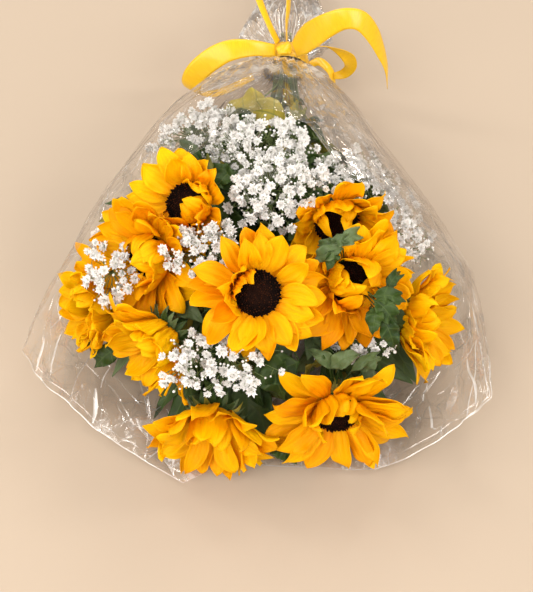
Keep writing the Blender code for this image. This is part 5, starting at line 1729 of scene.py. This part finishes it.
    def _place(self, spots: Array, height: Array) -> Array:
        """Where points of the flat sheet lie when it is wound round the bunch.

        Args:
            spots: Rows of how far round the sheet and how far along it.
            height: How far each stands out from the smooth wrap.

        Returns:
            Rows of points.
        """
        turn = self._turn(spots)
        ahead = self._ahead(spots)
        table = np.array(self.sections)
        centre, half, side, top, bottom = (np.interp(ahead, table[:, 0], table[:, i]) for i in range(1, 6))
        angle = np.radians(turn)
        c, s = np.cos(angle), np.sin(angle)
        gathered = np.clip(1 - np.abs(ahead) / 0.10, 0, 1)
        height = height * np.clip(half / table[-1, 2], 0.12, 1) ** 1.3
        wound = np.clip((turn - self.first_turn - 360) / 12, 0, 1)
        open_share = np.clip(np.abs(ahead) / 0.12, 0.12, 1)
        pleat = np.sin(self.pleats * angle + 1.3 * np.sin(3 * angle))
        deep = self.pleat_depth * pleat * (0.35 + 0.65 * gathered) + self.overlap_gap * wound * open_share
        deep = deep + (height - 0.003) * (1 - gathered * 0.7) * (1 - 0.55 * np.abs(c))
        for fold in self.side_folds:
            apart = np.abs((turn - fold + 180) % 360 - 180)
            deep = deep + self.side_fold_depth * (1 - gathered) * np.exp(-apart / 5)
        flat = np.where(bottom < 0.01, np.minimum(1.0, -s * 1.34), -s)
        under = side - (side - bottom) * flat - deep * gathered * -s
        z = np.where(s >= 0, side + (top - side + deep) * s, under)
        z = np.maximum(z, 0.0008) + np.clip(0.1 - s, 0, 0.2) * 5 * (height + 0.010) * (1 - gathered)
        return np.column_stack([centre + (half + deep) * c, TIE[1] - ahead, z])


@dataclass(frozen=True)
class Strip:
    """One loop or tail of the ribbon."""

    node: str
    line: tuple[Triple, ...]
    first_face: Triple
    last_face: Triple
    widths: tuple[float, ...]


@dataclass
class SatinRibbon:
    """The satin ribbon: turns round the neck, a knot, loops and tails."""

    effects: SharedEffects
    width: float = 0.026
    thickness: float = 0.0004
    strip_grid: tuple[int, int] = (64, 9)
    turn_grid: tuple[int, int] = (150, 7)
    pillow_grid: tuple[int, int] = (12, 28)
    grain: float = 0.2
    knot: Triple = (0.021, 0.2865, 0.0803)
    # For each fold of the knot: its place from the knot's middle, its half sizes, and how far it is turned.
    pillows: tuple[tuple[Triple, Triple, float], ...] = (
        ((0.0, 0.0, 0.0045), (0.0105, 0.0085, 0.0042), 0.2),
        ((0.001, 0.0, 0.0066), (0.0062, 0.0098, 0.0030), -0.5))
    turn_radius: float = 0.0266
    turn_width: float = 0.021
    strips: tuple[Strip, ...] = (
        Strip("ribbon_big_curl",
              ((0.0315, 0.283, 0.0868), (0.040, 0.276, 0.108), (0.051, 0.270, 0.130), (0.067, 0.267, 0.149),
               (0.086, 0.267, 0.160), (0.104, 0.267, 0.157), (0.118, 0.264, 0.140), (0.129, 0.259, 0.116),
               (0.137, 0.252, 0.092), (0.139, 0.242, 0.068)),
              (-0.45, -0.55, 0.70), (0.92, -0.35, 0.10),
              (0.70, 1.05, 1.15, 1.05, 0.92, 0.84, 0.76, 0.62, 0.38, 0.05)),
        Strip("ribbon_left_loop",
              ((0.0105, 0.284, 0.0858), (-0.018, 0.279, 0.096), (-0.044, 0.273, 0.098), (-0.066, 0.266, 0.088),
               (-0.083, 0.260, 0.070), (-0.088, 0.257, 0.050), (-0.078, 0.262, 0.032), (-0.058, 0.270, 0.024),
               (-0.034, 0.279, 0.028), (-0.0155, 0.286, 0.036)),
              (0.10, -0.35, 0.93), (-0.35, -0.30, -0.89),
              (0.55, 0.7, 0.9, 1.0, 1.0, 0.95, 0.8, 0.65, 0.55, 0.5)),
        Strip("ribbon_small_curl",
              ((0.0415, 0.289, 0.0772), (0.054, 0.288, 0.087), (0.068, 0.286, 0.091), (0.083, 0.283, 0.087),
               (0.095, 0.281, 0.076), (0.098, 0.280, 0.061), (0.091, 0.281, 0.047), (0.079, 0.283, 0.040)),
              (0.0, 0.55, 0.83), (0.1, 0.6, -0.79),
              (0.45, 0.45, 0.45, 0.5, 0.6, 0.55, 0.45, 0.3)),
        Strip("ribbon_up_tail",
              ((0.0135, 0.2965, 0.0845), (0.005, 0.306, 0.101), (-0.002, 0.320, 0.110), (-0.009, 0.338, 0.116),
               (-0.016, 0.358, 0.116), (-0.024, 0.380, 0.112)),
              (0.75, -0.40, 0.55), (0.70, -0.45, 0.55), (0.35, 0.38, 0.42, 0.42, 0.4, 0.3)),
        Strip("ribbon_back_tail",
              ((0.024, 0.2985, 0.0860), (0.024, 0.309, 0.101), (0.026, 0.326, 0.110), (0.027, 0.347, 0.113),
               (0.027, 0.368, 0.110), (0.026, 0.388, 0.105)),
              (0.93, -0.2, 0.3), (0.9, -0.2, 0.4), (0.34, 0.36, 0.40, 0.44, 0.42, 0.34)),
        Strip("ribbon_side_tail",
              ((0.0510, 0.290, 0.052), (0.062, 0.294, 0.053), (0.072, 0.291, 0.047), (0.078, 0.284, 0.041),
               (0.081, 0.276, 0.027)),
              (0.5, -0.6, 0.62), (0.9, -0.4, 0.2), (0.32, 0.38, 0.42, 0.42, 0.3)),
    )

    def build(self) -> None:
        """Builds and dresses the ribbon's pieces."""
        finish = SatinFinish().material(self.effects)
        self._turns(finish)
        for number, strip in enumerate(self.strips):
            self._strip(strip, finish, number)

    def _strip(self, strip: Strip, finish: Material, number: int) -> None:
        """Builds one loop or tail as a thin band that is a little arched across."""
        count, columns = self.strip_grid
        path = smooth_path(np.array(strip.line), count)
        share, over = np.linspace(0, 1, count), np.linspace(-1, 1, columns)
        faces = (np.outer(1 - share, unit(np.array(strip.first_face)))
                 + np.outer(share, unit(np.array(strip.last_face))))
        faces, sides = blade_ways(path, faces)
        widths = np.interp(share, np.linspace(0, 1, len(strip.widths)), strip.widths) * self.width
        lift = -0.0008 * np.outer(np.sin(np.pi * share) + 0.3, over ** 2)
        lift += 0.0005 * np.sin(9 * share + number)[:, None] * over[None, :]
        grid = blade_grid(path, -sides, np.outer(widths / 2, over), faces, lift)
        length = float(np.linalg.norm(np.diff(path, axis=0), axis=1).sum())
        values = blade_values(count, columns)
        mould = Mould(strip.node + "_satin")
        mould.add(shell(grid, self.thickness), along=values["along"] * length / self.grain, over=values["over"],
                  seed=float(number))
        made = mould.cast(finish, Slot.SATIN, strip.node)

    def _turns(self, finish: Material) -> None:
        """Builds the turns round the neck with small gathers, and the knot over them."""
        mould = Mould("ribbon_turns")
        count, columns = self.turn_grid
        turn, over = np.linspace(0, FULL_TURN, count), np.linspace(-1, 1, columns)
        gather = 0.0003 * np.sin(23 * turn)[:, None] + 0.0004 * np.cos(np.pi * over * 2.5)[None, :]
        wheel = np.stack([np.cos(turn), np.zeros(count), np.sin(turn)], axis=1)
        for layer, (radius, width, shift) in enumerate(((self.turn_radius, self.turn_width, 0.0),
                                                        (self.turn_radius + 0.0006, 0.012, 0.0024))):
            grid = (TIE + wheel[:, None, :] * (radius + gather)[..., None]
                    + FORWARD * (over * width / 2 + shift)[None, :, None])
            mould.add(shell(grid, self.thickness), along=np.tile(np.repeat(turn * 0.13, columns), 2),
                      over=np.tile(over, 2 * count), seed=float(layer))
        for number, (offset, size, tilt) in enumerate(self.pillows):
            fold = self._pillow(np.array(self.knot) + np.array(offset), np.array(size), tilt)
            mould.add(fold, along=0.2, over=0.0, seed=5.0 + number)
        made = mould.cast(finish, Slot.SATIN, "ribbon_tie")

    def _pillow(self, centre: Array, size: Array, tilt: float) -> Surface:
        """A rounded fold of the knot, pinched with soft creases."""
        rows, sides = self.pillow_grid
        turn = 2 * np.pi * np.arange(sides) / sides
        points = []
        for row in range(rows):
            up = -math.pi / 2 + math.pi * row / (rows - 1)
            pinch = 1 + 0.10 * np.sin(5 * turn + 3 * tilt)
            x = size[0] * math.cos(up) * np.cos(turn) * pinch
            y = size[1] * math.cos(up) * np.sin(turn) * pinch
            z = np.full(sides, size[2] * math.sin(up)) + 0.0004 * np.cos(6 * turn) * math.cos(up)
            points.append(np.stack([x * math.cos(tilt) - y * math.sin(tilt),
                                    x * math.sin(tilt) + y * math.cos(tilt), z], axis=1))
        return centre + np.vstack(points), tube_faces(rows, sides)


@dataclass
class StemBinding:
    """The twine that holds the stems together under the film."""

    effects: SharedEffects
    radius: float = 0.0189
    strand: float = 0.0010
    width: float = 0.0092
    windings: float = 5.0
    grid: tuple[int, int] = (320, 7)

    def build(self) -> None:
        """Builds and dresses the binding."""
        count, sides = self.grid
        turn = np.linspace(0, FULL_TURN * self.windings, count)
        spread = self.width * (np.linspace(-0.5, 0.5, count)) * 0.8
        path = TIE + np.stack([self.radius * np.cos(turn), spread, self.radius * np.sin(turn)], axis=1)
        along = np.repeat(np.linspace(0, self.windings, count + 2), sides)
        mould = Mould("stem_twine")
        mould.add(tube(path, np.full(count, self.strand), sides), along=along,
                  over=np.tile(np.linspace(-1, 1, sides), count + 2), seed=1.0)
        mould.cast(TwineFinish().material(self.effects), Slot.TWINE, "stem_binding")


@dataclass
class Studio:
    """The pale floor, the soft lamps and the camera."""

    aim: Triple = (0.0, -0.1025, 0.1885)
    elevation: float = 60.0
    distance: float = 1.4
    field_height: float = 0.5683
    sensor: float = 36.0
    floor_colour: Triple = (0.47, 0.375, 0.285)
    reach: float = 30.0
    room: Triple = (0.40, 0.38, 0.36)
    patch: Triple = (1.7, 1.7, 1.7)
    backdrop: Triple = (0.72, 0.62, 0.51)
    lamp_colour: Triple = (1.0, 0.97, 0.93)
    # For each lamp: its name, place, size and power.
    lamps: tuple[tuple[str, Triple, Pair, float], ...] = (
        ("key", (-0.9, -1.2, 2.2), (1.9, 1.9), 41.0), ("fill", (1.3, -1.5, 1.6), (1.4, 1.4), 28.0),
        ("left_fill", (-1.7, -0.9, 0.9), (1.2, 1.2), 12.0), ("left_strip", (-1.3, 0.5, 1.3), (0.10, 0.8), 6.0),
        ("right_strip", (1.3, 0.2, 1.2), (0.10, 0.8), 6.0), ("back_strip", (0.2, 1.6, 1.4), (0.9, 0.12), 7.0),
        ("back_left_strip", (-0.75, 1.0, 1.8), (0.08, 0.7), 5.0),
        ("back_right_strip", (0.70, 1.1, 1.7), (0.08, 0.7), 5.0),
        ("top_box", (0.0, 1.0, 1.95), (1.5, 0.30), 2.5))

    def build(self) -> None:
        """Places the camera, the floor and the light."""
        scene = bpy.context.scene
        scene.view_settings.view_transform = "Standard"
        scene.view_settings.look = "None"
        self._camera(scene)
        self._floor(scene)
        self._world(scene)
        for lamp in self.lamps:
            self._lamp(*lamp)

    def _camera(self, scene: bpy.types.Scene) -> None:
        """Places the camera, which looks down on the bunch."""
        lens = bpy.data.cameras.new("camera")
        lens.sensor_fit = "VERTICAL"
        lens.sensor_height = self.sensor
        lens.lens = self.sensor * self.distance / self.field_height
        camera = bpy.data.objects.new("camera", lens)
        rise = math.radians(self.elevation)
        camera.location = (self.aim[0], self.aim[1] - self.distance * math.cos(rise),
                           self.aim[2] + self.distance * math.sin(rise))
        camera.rotation_euler = (math.radians(90) - rise, 0.0, 0.0)
        scene.collection.objects.link(camera)
        scene.camera = camera

    def _floor(self, scene: bpy.types.Scene) -> None:
        """Lays a plain pale floor."""
        shading = Shading("floor_paper")
        mesh = bpy.data.meshes.new("floor")
        corners = ((-1, -1), (1, -1), (1, 1), (-1, 1))
        mesh.from_pydata([(x * self.reach, y * self.reach, 0) for x, y in corners], [], [(0, 1, 2, 3)])
        mesh.materials.append(shading.surface(Base_Color=(*self.floor_colour, 1.0), Roughness=0.85,
                                              Specular_IOR_Level=0.2))
        floor = bpy.data.objects.new("floor", mesh)
        scene.collection.objects.link(floor)

    def _world(self, scene: bpy.types.Scene) -> None:
        """Fills the room with soft light and a few bright patches, which the film mirrors."""
        scene.world = bpy.data.worlds.new("studio")
        scene.world.use_nodes = True
        net = Net(scene.world.node_tree)
        place = net.node("ShaderNodeTexCoord").outputs["Generated"]
        clouds = net.node("ShaderNodeTexNoise", Vector=place, Scale=3.2, Detail=2.0)
        patches = net.ramp(clouds.outputs[0], (0.58, self.room), (0.64, self.patch))
        seen = net.mix(net.node("ShaderNodeLightPath").outputs["Is Camera Ray"], patches, self.backdrop)
        net.feed(net.tree.nodes["Background"], Color=seen)

    def _lamp(self, name: str, place: Triple, size: Pair, power: float) -> None:
        """Hangs one lamp that points at the bunch."""
        light = bpy.data.lights.new(name, "AREA")
        light.shape = "RECTANGLE"
        light.size, light.size_y = size
        light.energy = power
        light.color = self.lamp_colour
        lamp = bpy.data.objects.new(name, light)
        lamp.location = place
        lamp.rotation_euler = (Vector(place) - Vector(self.aim)).to_track_quat("Z", "Y").to_euler()
        bpy.context.scene.collection.objects.link(lamp)


def main() -> None:
    """Loads the solids and dresses them piece by piece."""
    logging.basicConfig(level=logging.INFO, format="%(message)s")
    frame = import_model()
    nodes = frame["nodes"]
    Studio().build()
    effects = SharedEffects()
    heads = {name: Head(name, nodes) for name in BLOOMS}
    head_trees = [SolidReader(nodes[f"{name}_{part}"]).tree for name in BLOOMS for part in ("rays", "disc")]
    SunflowerRays(effects, heads).build()
    SunflowerDiscs(effects, heads).build()
    film = SolidReader(nodes["film_wrap"]).tree
    Greenery(effects, heads, nodes, head_trees + [film]).build()
    BabysBreath(effects, nodes, head_trees, film).build()
    StemBinding(effects).build()
    FilmWrap(effects).build()
    SatinRibbon(effects).build()


if __name__ == "__main__":
    main()
